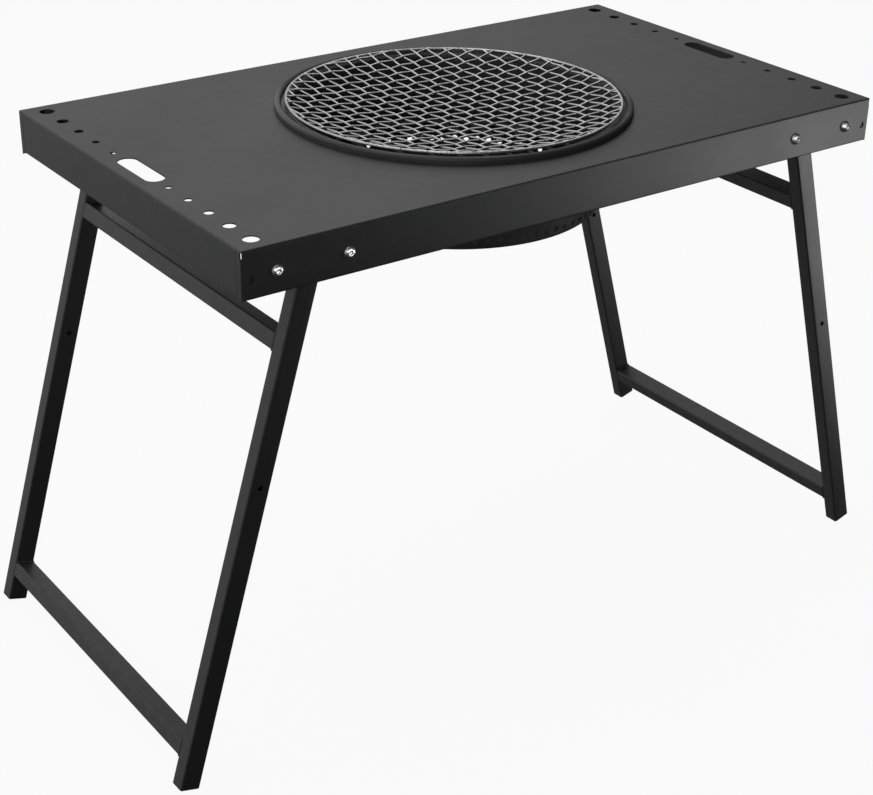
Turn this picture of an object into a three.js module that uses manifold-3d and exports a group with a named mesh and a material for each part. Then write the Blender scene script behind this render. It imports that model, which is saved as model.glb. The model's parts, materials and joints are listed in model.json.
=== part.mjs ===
// Folding steel grill table: a sheet-steel tray on two splayed leg frames that fold up under it,
// with a drop-in round fire pan, a charcoal grate and a dished wire grill mesh.
// Millimetres. +X runs along the table, -Y is the front, +Z is up, and Z = 0 is the ground.
import * as THREE from "three";
import { mergeVertices } from "three/addons/utils/BufferGeometryUtils.js";
import Module from "manifold-3d";

const wasm = await Module();
wasm.setup();

// ---- Driving dimensions ----
const GAP = 0.3; // between two pieces that touch
const OVERSHOOT = 1; // how far a cutter runs past the face it cuts

// Tray
const TRAY_LENGTH = 1000;
const TRAY_WIDTH = 581;
const TRAY_TOP_Z = 718.5;
const SHEET = 1.5;
const LONG_APRON_DEPTH = 60.3;
const END_APRON_DEPTH = 57;
const HEM_WIDTH = 10;
const CORNER_NOTCH = { width: 3, height: 7 };
const PAN_HOLE_RADIUS = 226;
const PAN_HOLE_SIDES = 48;
const HANDLE_SLOT = { x: 470, width: 26, length: 95 };
const HANGING_HOLES = [
  { x: 471, y: 72, radius: 4 },
  { x: 471, y: 120.5, radius: 5 },
  { x: 471, y: 169, radius: 6.25 },
  { x: 471, y: 216.5, radius: 8 },
  { x: 471, y: 264, radius: 10 },
];
const APRON_HOLE = { x: 488, z: 682, radius: 4.5 };

// Leg frames
const SPLAY = THREE.MathUtils.degToRad(16.07);
const TUBE_DEPTH = 28;
const TUBE_WIDTH = 22.4;
const TUBE_WALL = 1.5;
const TUBE_CORNER = 3;
const LEG_CENTRE_Y = 259.5;
const FOOT_X = 588;
const FOOT_CAP = 1.7;
const PLUG_DEPTH = 14;
const LOWER_BAR_S = 49.6;
const UPPER_BAR_S = 593.4;
const LEG_HOLE_RADIUS = 3.5;
// The left frame pivots one tube depth higher, so that the two frames stack when they fold.
// Each stop is given by its lowest and highest distance along the leg, counted up from the pivot.
const FRAMES = {
  left: { side: -1, pivot_z: 701.5, leg_hole_s: 415, stop: [-30, -8], bracket_top: 716.7 },
  right: { side: 1, pivot_z: 672.5, leg_hole_s: 383.5, stop: [-12, 8], bracket_top: 702 },
};
const ENDS = { front: -1, rear: 1 };

// Brackets and fasteners
const APRON_BOLTS_X = [358.5, 454];
const APRON_BOLT_Z = 686;
const BRACKET_PLATE = 3;
const BRACKET_HEIGHT = 42;
const BRACKET_ENDS_X = [345, 467];
const BRACKET_HAT_X = [367.5, 445.5];
const STOP_REACH = 20;
const BOLT_TAIL = 2; // how far a pivot bolt shows past its nut
const WASHER = { radius: 9, thickness: 1 };
const BOLT_RADIUS = 3.95;
const BOLT_HOLE_RADIUS = 4.3;
const BUTTON_HEAD = { radius: 7, height: 4.4, socket_across: 5, socket_depth: 2.6 };
const NUT = { across: 13, height: 6.5 };
const HEX_HEAD_HEIGHT = 5;

// Fire pan, with heights counted from the top of the tray
const PAN_WALL = 1.5;
const PAN_RIM_RADIUS = 242;
const PAN_RIM_HEIGHT = 9.3;
const PAN_RIM_ROUND = 4.5;
const PAN_SEAT_RADIUS = 232.6;
const PAN_SEAT_HEIGHT = 3.1;
const PAN_MOUTH_RADIUS = 222;
const PAN_BASE_RADIUS = 203.5;
const PAN_DEPTH = 130;
const PAN_BASE_ROUND = 7;
const VENTS = { count: 76, radius: 4, below_top: 117.5, drill: 16, turn: THREE.MathUtils.degToRad(0.66) };
const PAN_SIDES = VENTS.count / 2;

// Grill mesh
const MESH_RADIUS = 226;
const MESH_EDGE_HEIGHT = 5.9;
const MESH_DISH = 13.8;
const MESH_WIRE = 3;
const MESH_PITCH = 63.9;
const MESH_LAYER_STEP = 0.2; // the wires one way lie this much above the middle, the others below
const MESH_TURN = THREE.MathUtils.degToRad(3);
const MESH_RIM_RADIUS = 2.5;
const RING_SIDES = 48;
const WIRE_STEPS = 8;

// Charcoal grate
const GRATE_RADIUS = 188;
const GRATE_ROD_RADIUS = 4;
const GRATE_DEPTH = 88;
const GRATE_PITCH = 31;
const GRATE_RODS_EACH_SIDE = 5;
const GRATE_LEGS = 4;

// ---- Materials ----
const finish = (color, roughness, metalness) =>
  new THREE.MeshStandardMaterial({ color, roughness, metalness });
const BLACK_COAT = [0x1c1d1f, 0.5, 0.3];
const HEAT_BLACK = [0x161616, 0.6, 0.3];
const BRIGHT_STEEL = [0xc9ccd0, 0.25, 1];
const ZINC = [0xa9adb2, 0.4, 1];
const BLACK_PLASTIC = [0x101010, 0.7, 0];
const NYLON = [0xd8d6cc, 0.6, 0];

// ---- Solids ----
// A closed three.js geometry as a solid that can be joined and cut.
function solid(geometry) {
  const bare = geometry.clone();
  bare.deleteAttribute("normal");
  bare.deleteAttribute("uv");
  const merged = mergeVertices(bare, 1e-4);
  return new wasm.Manifold(
    new wasm.Mesh({
      numProp: 3,
      vertProperties: merged.attributes.position.array,
      triVerts: new Uint32Array(merged.index.array),
    }),
  );
}

function geometryOf(body) {
  const mesh = body.getMesh();
  const geometry = new THREE.BufferGeometry();
  geometry.setAttribute("position", new THREE.BufferAttribute(mesh.vertProperties, 3));
  geometry.setIndex(new THREE.BufferAttribute(mesh.triVerts, 1));
  const faceted = geometry.toNonIndexed();
  faceted.computeVertexNormals();
  return faceted;
}

const joinAll = (bodies) => bodies.reduce((whole, body) => whole.add(body));
const cutAll = (body, cutters) => cutters.reduce((rest, cutter) => rest.subtract(cutter), body);

function piece(name, shape, look) {
  const geometry = shape.isBufferGeometry ? shape : geometryOf(shape);
  const mesh = new THREE.Mesh(geometry, finish(...look));
  mesh.name = name;
  return mesh;
}

// A block between two opposite corners.
function block([x0, y0, z0], [x1, y1, z1]) {
  const geometry = new THREE.BoxGeometry(x1 - x0, y1 - y0, z1 - z0);
  return solid(geometry.translate((x0 + x1) / 2, (y0 + y1) / 2, (z0 + z1) / 2));
}

function rod(radius, from, to, sides = 10) {
  const start = new THREE.Vector3(...from);
  const along = new THREE.Vector3(...to).sub(start);
  const turn = new THREE.Quaternion().setFromUnitVectors(
    new THREE.Vector3(0, 1, 0),
    along.clone().normalize(),
  );
  const middle = start.addScaledVector(along, 0.5);
  const geometry = new THREE.CylinderGeometry(radius, radius, along.length(), sides);
  return solid(geometry.applyQuaternion(turn).translate(middle.x, middle.y, middle.z));
}

function roundedRectangle(width, height, radius) {
  const [x, y] = [width / 2, height / 2];
  const shape = new THREE.Shape();
  shape.moveTo(x, y - radius);
  shape.absarc(x - radius, y - radius, radius, 0, Math.PI / 2);
  shape.absarc(radius - x, y - radius, radius, Math.PI / 2, Math.PI);
  shape.absarc(radius - x, radius - y, radius, Math.PI, 1.5 * Math.PI);
  shape.absarc(x - radius, radius - y, radius, 1.5 * Math.PI, 2 * Math.PI);
  return shape;
}

function extrude(shape, depth, curveSegments = 1) {
  return new THREE.ExtrudeGeometry(shape, { depth, steps: 1, bevelEnabled: false, curveSegments });
}

function hexagon(across) {
  const corner = across / Math.sqrt(3);
  const corners = [0, 1, 2, 3, 4, 5].map((i) => {
    const angle = (i * Math.PI) / 3;
    return new THREE.Vector2(corner * Math.cos(angle), corner * Math.sin(angle));
  });
  return new THREE.Shape(corners);
}

// A hexagonal prism along +Y, starting at the given point.
function hexPrism(across, [x, y, z], height) {
  const geometry = extrude(hexagon(across), height).rotateX(-Math.PI / 2);
  return solid(geometry.translate(x, y, z));
}

// ---- Tray: the top sheet and its four folded sides ----
const ordered = (a, b) => [Math.min(a, b), Math.max(a, b)];
const [half_length, half_width] = [TRAY_LENGTH / 2, TRAY_WIDTH / 2];
const side_top = TRAY_TOP_Z - SHEET - GAP;

function traySheet() {
  const low = TRAY_TOP_Z - SHEET;
  const sheet = block([-half_length, -half_width, low], [half_length, half_width, TRAY_TOP_Z]);
  const [from, to] = [low - OVERSHOOT, TRAY_TOP_Z + OVERSHOOT];
  const cutters = [rod(PAN_HOLE_RADIUS, [0, 0, from], [0, 0, to], PAN_HOLE_SIDES)];
  const slot = roundedRectangle(HANDLE_SLOT.width, HANDLE_SLOT.length, HANDLE_SLOT.width / 2 - 0.01);
  for (const s of [-1, 1]) {
    const hole = extrude(slot, to - from, 6);
    cutters.push(solid(hole.translate(s * HANDLE_SLOT.x, 0, from)));
    for (const t of [-1, 1]) {
      for (const { x, y, radius } of HANGING_HOLES) {
        cutters.push(rod(radius, [s * x, t * y, from], [s * x, t * y, to]));
      }
    }
  }
  return piece("tray_top", cutAll(sheet, cutters), BLACK_COAT);
}

// The front side, with its hem turned in at the foot and its corners cut back. The rear side is
// the same sheet turned half round.
function longSide(name) {
  const foot = TRAY_TOP_Z - LONG_APRON_DEPTH;
  const [outer_y, inner_y] = [-half_width, SHEET - half_width];
  const hem_end = half_length - HEM_WIDTH;
  const parts = [
    block([-half_length, outer_y, foot], [half_length, inner_y, side_top]),
    block([-hem_end, outer_y, foot], [hem_end, HEM_WIDTH - half_width, foot + SHEET]),
  ];
  const [from, to] = [outer_y - OVERSHOOT, inner_y + OVERSHOOT];
  const cutters = [];
  for (const s of [-1, 1]) {
    const through = (x, z, radius) => rod(radius, [s * x, to, z], [s * x, from, z]);
    cutters.push(through(APRON_HOLE.x, APRON_HOLE.z, APRON_HOLE.radius));
    for (const bolt_x of APRON_BOLTS_X) {
      cutters.push(through(bolt_x, APRON_BOLT_Z, BOLT_HOLE_RADIUS));
    }
    const notch_x = ordered(s * (half_length + OVERSHOOT), s * (half_length - CORNER_NOTCH.width));
    const notch_low = side_top - CORNER_NOTCH.height;
    cutters.push(block([notch_x[0], from, notch_low], [notch_x[1], to, TRAY_TOP_Z]));
  }
  return piece(name, cutAll(joinAll(parts), cutters), BLACK_COAT);
}

// A side across the end, between the two long sides.
function endSide(name, s) {
  const foot = TRAY_TOP_Z - END_APRON_DEPTH;
  const wall = ordered(s * half_length, s * (half_length - SHEET));
  const hem = ordered(s * half_length, s * (half_length - HEM_WIDTH));
  const [wall_y, hem_y] = [half_width - SHEET - GAP, half_width - HEM_WIDTH];
  const parts = [
    block([wall[0], -wall_y, foot], [wall[1], wall_y, side_top]),
    block([hem[0], -hem_y, foot], [hem[1], hem_y, foot + SHEET]),
  ];
  return piece(name, joinAll(parts), BLACK_COAT);
}

function tray() {
  const front = longSide("front_apron");
  const rear = longSide("rear_apron");
  rear.rotation.z = Math.PI;
  return [traySheet(), front, rear, endSide("left_apron", -1), endSide("right_apron", 1)];
}

// ---- Leg frames: each is drawn standing up along Z from the foot, then leaned to its splay ----
const foot_z = (TUBE_DEPTH / 2) * Math.sin(SPLAY);
const pivotLength = (frame) => (frame.pivot_z - foot_z) / Math.cos(SPLAY);
const pivotX = (frame) => FOOT_X - (frame.pivot_z - foot_z) * Math.tan(SPLAY);
const sleeve = (inset) =>
  roundedRectangle(TUBE_DEPTH - 2 * inset, TUBE_WIDTH - 2 * inset, TUBE_CORNER - inset);

function leg(name, frame, y) {
  const length = pivotLength(frame);
  const foot = FOOT_CAP + GAP;
  const radius = TUBE_DEPTH / 2;
  const full = length + radius - foot;
  const outside = solid(extrude(sleeve(0), full)).translate([0, 0, foot]);
  const bore = extrude(sleeve(TUBE_WALL), full + 2 * OVERSHOOT);
  const inside = solid(bore.translate(0, 0, foot - OVERSHOOT));
  const side = new THREE.Shape();
  side.moveTo(-radius, 0);
  side.lineTo(radius, 0);
  side.absarc(0, length, radius, 0, Math.PI);
  const rounding = extrude(side, 2 * TUBE_WIDTH, 6).rotateX(Math.PI / 2);
  const rounded = outside.intersect(solid(rounding.translate(0, TUBE_WIDTH, 0)));
  const across = (s, r) => rod(r, [0, -TUBE_WIDTH, s], [0, TUBE_WIDTH, s]);
  const holes = [across(length, BOLT_HOLE_RADIUS), across(frame.leg_hole_s, LEG_HOLE_RADIUS)];
  const mesh = piece(name, cutAll(rounded, [inside, ...holes]), BLACK_COAT);
  mesh.position.set(0, y, 0);
  return mesh;
}

function crossbar(name, s) {
  const length = 2 * LEG_CENTRE_Y - TUBE_WIDTH - 2 * GAP;
  const wall = sleeve(0);
  wall.holes.push(sleeve(TUBE_WALL));
  const geometry = extrude(wall, length).rotateX(Math.PI / 2).translate(0, length / 2, 0);
  const mesh = piece(name, solid(geometry), BLACK_COAT);
  mesh.position.set(0, 0, s);
  return mesh;
}

function footPlug(name, y) {
  const inset = TUBE_WALL + GAP;
  const cap = solid(extrude(sleeve(0), FOOT_CAP));
  const plug = solid(extrude(sleeve(inset), FOOT_CAP + PLUG_DEPTH));
  const mesh = piece(name, cap.add(plug), BLACK_PLASTIC);
  mesh.position.set(0, y, 0);
  return mesh;
}

function legFrame(name, frame) {
  const stand = new THREE.Group();
  stand.position.set(frame.side * FOOT_X, 0, foot_z);
  stand.rotation.y = -frame.side * SPLAY;
  for (const [end, t] of Object.entries(ENDS)) {
    stand.add(leg(`${name}_${end}_leg`, frame, t * LEG_CENTRE_Y));
    stand.add(footPlug(`${name}_${end}_foot_plug`, t * LEG_CENTRE_Y));
  }
  stand.add(crossbar(`${name}_lower_crossbar`, LOWER_BAR_S));
  stand.add(crossbar(`${name}_upper_crossbar`, UPPER_BAR_S));
  return stand;
}

// ---- Pivot corners: drawn once for +X, +Y, then mirrored into each corner ----
const leg_face_y = LEG_CENTRE_Y + TUBE_WIDTH / 2;
const plate_y = leg_face_y + 2 * GAP + WASHER.thickness;
const apron_inner_y = TRAY_WIDTH / 2 - SHEET;

function bracket(name, frame) {
  const [z0, z1] = [frame.bracket_top - BRACKET_HEIGHT, frame.bracket_top];
  const base_y = apron_inner_y - GAP;
  const [end0, end1] = BRACKET_ENDS_X;
  const [hat0, hat1] = BRACKET_HAT_X;
  const parts = [
    block([end0, base_y - BRACKET_PLATE, z0], [hat0 + BRACKET_PLATE, base_y, z1]),
    block([hat0, plate_y, z0], [hat0 + BRACKET_PLATE, base_y, z1]),
    block([hat0, plate_y, z0], [hat1, plate_y + BRACKET_PLATE, z1]),
    block([hat1 - BRACKET_PLATE, plate_y, z0], [hat1, base_y, z1]),
    block([hat1 - BRACKET_PLATE, base_y - BRACKET_PLATE, z0], [end1, base_y, z1]),
  ];
  const face = TUBE_DEPTH / 2 + GAP;
  const [low, high] = frame.stop;
  const reach = STOP_REACH + OVERSHOOT;
  const tab = new THREE.BoxGeometry(BRACKET_PLATE, reach, high - low);
  tab.translate(face + BRACKET_PLATE / 2, 0, (low + high) / 2).rotateY(-SPLAY);
  tab.translate(pivotX(frame), plate_y + OVERSHOOT - reach / 2, frame.pivot_z);
  const holes = APRON_BOLTS_X.map((x) =>
    rod(BOLT_HOLE_RADIUS, [x, plate_y, APRON_BOLT_Z], [x, apron_inner_y, APRON_BOLT_Z]),
  );
  const [x, z] = [pivotX(frame), frame.pivot_z];
  holes.push(rod(BOLT_HOLE_RADIUS, [x, leg_face_y, z], [x, plate_y + 2 * BRACKET_PLATE, z]));
  return piece(name, cutAll(joinAll([...parts, solid(tab)]), holes), ZINC);
}

function nut(name, x, y, z) {
  const [start, end] = [y - OVERSHOOT, y + NUT.height + OVERSHOOT];
  const hole = rod(BOLT_RADIUS + GAP / 2, [x, start, z], [x, end, z]);
  return piece(name, hexPrism(NUT.across, [x, y, z], NUT.height).subtract(hole), ZINC);
}

function pivotBolt(name, x, z) {
  const head_y = LEG_CENTRE_Y - TUBE_WIDTH / 2 - GAP;
  const end_y = plate_y + BRACKET_PLATE + GAP + NUT.height + BOLT_TAIL;
  const head = hexPrism(NUT.across, [x, head_y - HEX_HEAD_HEIGHT, z], HEX_HEAD_HEIGHT);
  const shank = rod(BOLT_RADIUS, [x, head_y - OVERSHOOT, z], [x, end_y, z]);
  return piece(name, head.add(shank), ZINC);
}

function pivotWasher(name, x, z) {
  const y = leg_face_y + GAP;
  const disc = rod(WASHER.radius, [x, y, z], [x, y + WASHER.thickness, z]);
  const end = y + WASHER.thickness + OVERSHOOT;
  const hole = rod(BOLT_HOLE_RADIUS, [x, y - OVERSHOOT, z], [x, end, z]);
  return piece(name, disc.subtract(hole), NYLON);
}

// A domed socket-head bolt whose head stands outside the apron.
function apronBolt(name, x, z) {
  const { radius, height, socket_across, socket_depth } = BUTTON_HEAD;
  const shank = apron_inner_y - plate_y - 2 * BRACKET_PLATE;
  const dome = [[0, -shank], [BOLT_RADIUS, -shank], [BOLT_RADIUS, 0], [radius, 0]];
  for (const step of [0.5, 1]) {
    dome.push([radius * Math.cos(step), (height * Math.sin(step)) / Math.sin(1)]);
  }
  dome.push([0, height]);
  const profile = dome.map(([r, y]) => new THREE.Vector2(r, y));
  const body = new THREE.LatheGeometry(profile, 10).translate(x, TRAY_WIDTH / 2 + GAP, z);
  const socket_y = TRAY_WIDTH / 2 + GAP + height - socket_depth;
  const socket = hexPrism(socket_across, [x, socket_y, z], 2 * socket_depth);
  return piece(name, solid(body).subtract(socket), BRIGHT_STEEL);
}

function pivotCorner(frame_name, frame, end_name, end) {
  const corner = new THREE.Group();
  corner.scale.set(frame.side, end, 1);
  const name = `${frame_name}_${end_name}`;
  const [x, z] = [pivotX(frame), frame.pivot_z];
  const nut_y = plate_y + BRACKET_PLATE + GAP;
  const apron_nut_y = apron_inner_y - 2 * GAP - BRACKET_PLATE - NUT.height;
  corner.add(bracket(`${name}_bracket`, frame));
  corner.add(pivotBolt(`${name}_pivot_bolt`, x, z));
  corner.add(pivotWasher(`${name}_pivot_washer`, x, z));
  corner.add(nut(`${name}_pivot_nut`, x, nut_y, z));
  APRON_BOLTS_X.forEach((bolt_x, i) => {
    const place = ["inner", "outer"][i];
    corner.add(apronBolt(`${name}_${place}_bolt`, bolt_x, APRON_BOLT_Z));
    corner.add(nut(`${name}_${place}_nut`, bolt_x, apron_nut_y, APRON_BOLT_Z));
  });
  return corner;
}

// ---- Fire pan: one turned profile, outside first, then back along the inside ----
function arc(cx, cz, radius, from, to, steps) {
  const points = [];
  for (let i = 0; i <= steps; i++) {
    const angle = THREE.MathUtils.degToRad(from + ((to - from) * i) / steps);
    points.push(new THREE.Vector2(cx + radius * Math.cos(angle), cz + radius * Math.sin(angle)));
  }
  return points;
}

function firePan() {
  const wall = PAN_WALL;
  const rim_centre = PAN_RIM_RADIUS - PAN_RIM_ROUND;
  const round_z = PAN_RIM_HEIGHT - PAN_RIM_ROUND;
  const base_centre = PAN_BASE_RADIUS - PAN_BASE_ROUND;
  const base_z = PAN_BASE_ROUND - PAN_DEPTH;
  const seat_centre = PAN_SEAT_RADIUS + PAN_RIM_ROUND;
  const outline = [
    new THREE.Vector2(0, -PAN_DEPTH),
    ...arc(base_centre, base_z, PAN_BASE_ROUND, -90, 0, 2),
    new THREE.Vector2(PAN_MOUTH_RADIUS, PAN_SEAT_HEIGHT - wall),
    new THREE.Vector2(PAN_SEAT_RADIUS + wall, PAN_SEAT_HEIGHT - wall),
    ...arc(seat_centre, round_z, PAN_RIM_ROUND - wall, 180, 90, 1),
    ...arc(rim_centre, round_z, PAN_RIM_ROUND - wall, 90, 0, 1).slice(1),
    new THREE.Vector2(PAN_RIM_RADIUS - wall, GAP),
    new THREE.Vector2(PAN_RIM_RADIUS, GAP),
    ...arc(rim_centre, round_z, PAN_RIM_ROUND, 0, 90, 2),
    ...arc(seat_centre, round_z, PAN_RIM_ROUND, 90, 180, 2).slice(1),
    new THREE.Vector2(PAN_SEAT_RADIUS, PAN_SEAT_HEIGHT),
    new THREE.Vector2(PAN_MOUTH_RADIUS - wall, PAN_SEAT_HEIGHT),
    ...arc(base_centre, base_z, PAN_BASE_ROUND - wall, 0, -90, 1),
    new THREE.Vector2(0, wall - PAN_DEPTH),
  ];
  const pan = solid(new THREE.LatheGeometry(outline, PAN_SIDES));
  const vents = [];
  for (let i = 0; i < VENTS.count; i++) {
    const angle = (i * 2 * Math.PI) / VENTS.count + VENTS.turn;
    const drill = new THREE.CylinderGeometry(VENTS.radius, VENTS.radius, VENTS.drill, 6);
    drill.rotateX(Math.PI / 2).translate(0, -VENTS.below_top, PAN_BASE_RADIUS).rotateY(angle);
    vents.push(solid(drill));
  }
  const mesh = piece("fire_pan", pan.subtract(joinAll(vents)), HEAT_BLACK);
  mesh.rotation.x = Math.PI / 2;
  mesh.position.set(0, 0, TRAY_TOP_Z);
  return mesh;
}

// ---- Grill mesh: bowed wires both ways under a round rim ----
function meshHeight(x, y) {
  const out = (x * x + y * y) / (MESH_RADIUS * MESH_RADIUS);
  return MESH_EDGE_HEIGHT - MESH_DISH * (1 - out);
}

function meshWires() {
  const half = MESH_WIRE / 2;
  const section = new THREE.Shape([
    new THREE.Vector2(half, half),
    new THREE.Vector2(-half, half),
    new THREE.Vector2(-half, -half),
    new THREE.Vector2(half, -half),
  ]);
  const wires = [];
  const most = Math.floor(MESH_RADIUS / MESH_PITCH);
  for (let i = -most; i <= most; i++) {
    const offset = i * MESH_PITCH;
    const reach = Math.sqrt(MESH_RADIUS * MESH_RADIUS - offset * offset);
    for (const along_x of [true, false]) {
      const points = [];
      for (let k = -4; k <= 4; k++) {
        const t = (k / 4) * reach;
        const [x, y] = along_x ? [t, offset] : [offset, t];
        const layer = along_x ? MESH_LAYER_STEP : -MESH_LAYER_STEP;
        points.push(new THREE.Vector3(x, y, meshHeight(x, y) + layer));
      }
      const extrudePath = new THREE.CatmullRomCurve3(points);
      const options = { steps: WIRE_STEPS, extrudePath, bevelEnabled: false };
      wires.push(solid(new THREE.ExtrudeGeometry(section, options)));
    }
  }
  const ring = new THREE.TorusGeometry(MESH_RADIUS - half, half, 5, RING_SIDES);
  wires.push(solid(ring.translate(0, 0, MESH_EDGE_HEIGHT)));
  return piece("grill_mesh", joinAll(wires), BRIGHT_STEEL);
}

function meshRim() {
  const height = MESH_EDGE_HEIGHT + MESH_WIRE / 2 + 2 * GAP + MESH_RIM_RADIUS;
  const ring = new THREE.TorusGeometry(MESH_RADIUS, MESH_RIM_RADIUS, 6, RING_SIDES);
  return piece("grill_rim", solid(ring.translate(0, 0, height)), BRIGHT_STEEL);
}

function grill() {
  const group = new THREE.Group();
  group.position.set(0, 0, TRAY_TOP_Z);
  group.rotation.z = MESH_TURN;
  group.add(meshWires(), meshRim());
  return group;
}

// ---- Charcoal grate: rods across a ring, on short legs that stand on the floor of the pan ----
function charcoalGrate() {
  const parts = [solid(new THREE.TorusGeometry(GRATE_RADIUS, GRATE_ROD_RADIUS, 6, 36))];
  for (let i = -GRATE_RODS_EACH_SIDE; i <= GRATE_RODS_EACH_SIDE; i++) {
    const x = i * GRATE_PITCH;
    const reach = Math.sqrt(GRATE_RADIUS * GRATE_RADIUS - x * x);
    parts.push(rod(GRATE_ROD_RADIUS - 1, [x, -reach, 0], [x, reach, 0], 6));
  }
  const grate = new THREE.Group();
  grate.position.set(0, 0, TRAY_TOP_Z - GRATE_DEPTH);
  grate.add(piece("charcoal_grate", joinAll(parts), HEAT_BLACK));
  const floor = PAN_WALL + GAP + GRATE_DEPTH - PAN_DEPTH;
  const top = -GRATE_ROD_RADIUS - GAP;
  for (let i = 0; i < GRATE_LEGS; i++) {
    const angle = ((i + 0.5) * 2 * Math.PI) / GRATE_LEGS;
    const [x, y] = [GRATE_RADIUS * Math.cos(angle), GRATE_RADIUS * Math.sin(angle)];
    const stub = rod(GRATE_ROD_RADIUS, [x, y, floor], [x, y, top], 8);
    grate.add(piece(`charcoal_grate_leg_${i + 1}`, stub, HEAT_BLACK));
  }
  return grate;
}

// ---- The table ----
const table = new THREE.Group();
table.add(...tray(), firePan(), charcoalGrate(), grill());
for (const [frame_name, frame] of Object.entries(FRAMES)) {
  table.add(legFrame(frame_name, frame));
  for (const [end_name, end] of Object.entries(ENDS)) {
    table.add(pivotCorner(frame_name, frame, end_name, end));
  }
}

export default table;
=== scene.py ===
"""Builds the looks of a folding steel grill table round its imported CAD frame.

The pieces are modelled in millimetres, in the frame's own axes: +X runs along the table, -Y is
the front, +Z is up and Z = 0 is the ground. Each one is scaled to metres when it is finished.
"""

import json
import logging
import math
from collections.abc import Callable, Sequence
from dataclasses import dataclass
from enum import Enum
from functools import cache

import bmesh
import bpy
from bmesh.types import BMEdge, BMesh, BMFace, BMVert
from mathutils import Matrix, Vector

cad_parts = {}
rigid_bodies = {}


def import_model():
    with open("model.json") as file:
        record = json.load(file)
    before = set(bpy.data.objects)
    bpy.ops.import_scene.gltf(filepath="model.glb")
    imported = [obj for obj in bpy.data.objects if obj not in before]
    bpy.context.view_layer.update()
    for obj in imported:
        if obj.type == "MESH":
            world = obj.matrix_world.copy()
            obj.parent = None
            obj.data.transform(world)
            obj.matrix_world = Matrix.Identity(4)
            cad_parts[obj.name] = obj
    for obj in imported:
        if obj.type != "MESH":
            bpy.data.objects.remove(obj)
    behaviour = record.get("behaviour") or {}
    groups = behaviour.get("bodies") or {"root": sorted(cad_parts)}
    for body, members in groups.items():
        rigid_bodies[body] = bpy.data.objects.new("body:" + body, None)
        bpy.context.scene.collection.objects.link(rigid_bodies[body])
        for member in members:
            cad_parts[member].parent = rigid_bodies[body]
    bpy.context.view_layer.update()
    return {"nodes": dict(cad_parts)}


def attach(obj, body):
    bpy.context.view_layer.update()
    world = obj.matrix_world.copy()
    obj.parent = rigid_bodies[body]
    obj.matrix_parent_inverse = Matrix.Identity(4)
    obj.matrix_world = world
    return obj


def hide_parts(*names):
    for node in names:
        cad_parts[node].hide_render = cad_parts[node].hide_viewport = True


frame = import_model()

LOG = logging.getLogger("grill_table")
MILLIMETRE = 0.001
TRAY_TOP = 718.5  # height of the tray's upper face
NEAR = 0.01  # two places or numbers closer than this are the same
PARALLEL = 0.999  # two unit directions agree when their dot product is above this
MERGE = 0.001  # vertices closer than this are made one
CORNER_STEPS = 4  # edges round each corner of a rounded rectangle
HOLE_BORDER = 0.9  # width of the ring of faces round a hole
TURNED_STEPS = 36  # edges round a bolt, nut or washer
SMALL_HOLE_STEPS = 24  # edges round a bolt hole
WHITE = (1.0, 1.0, 1.0, 1.0)

Colour = tuple[float, float, float, float]
Socket = bpy.types.NodeSocket


# ---- Named choices ----
class Body(Enum):
    """The bodies that move on their own."""

    TABLE = "table"
    LEFT_FRAME = "left_frame"
    RIGHT_FRAME = "right_frame"
    FIRE_PAN = "fire_pan"
    CHARCOAL_GRATE = "charcoal_grate"
    GRILL = "grill"


class Slot(Enum):
    """The record's material slots."""

    BLACK_COAT = "black_coat"
    HEAT_BLACK = "heat_black"
    BRIGHT_WIRE = "bright_wire"
    BRIGHT_BOLT = "bright_bolt"
    ZINC = "zinc"
    FOOT_PLASTIC = "foot_plastic"
    NYLON = "nylon"


class Side(Enum):
    """The two leg frames, by the sign of the X they stand on."""

    LEFT = -1
    RIGHT = 1

    @property
    def label(self) -> str:
        """The side's name as the frame spells it."""
        return self.name.lower()

    @property
    def body(self) -> Body:
        """The body that this side's leg frame belongs to."""
        return Body.LEFT_FRAME if self is Side.LEFT else Body.RIGHT_FRAME


class End(Enum):
    """The front and the rear, by the sign of their Y."""

    FRONT = -1
    REAR = 1

    @property
    def label(self) -> str:
        """The end's name as the frame spells it."""
        return self.name.lower()


class Thread(Enum):
    """Pitch of the metric threads, in millimetres."""

    M8 = 1.25


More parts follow.
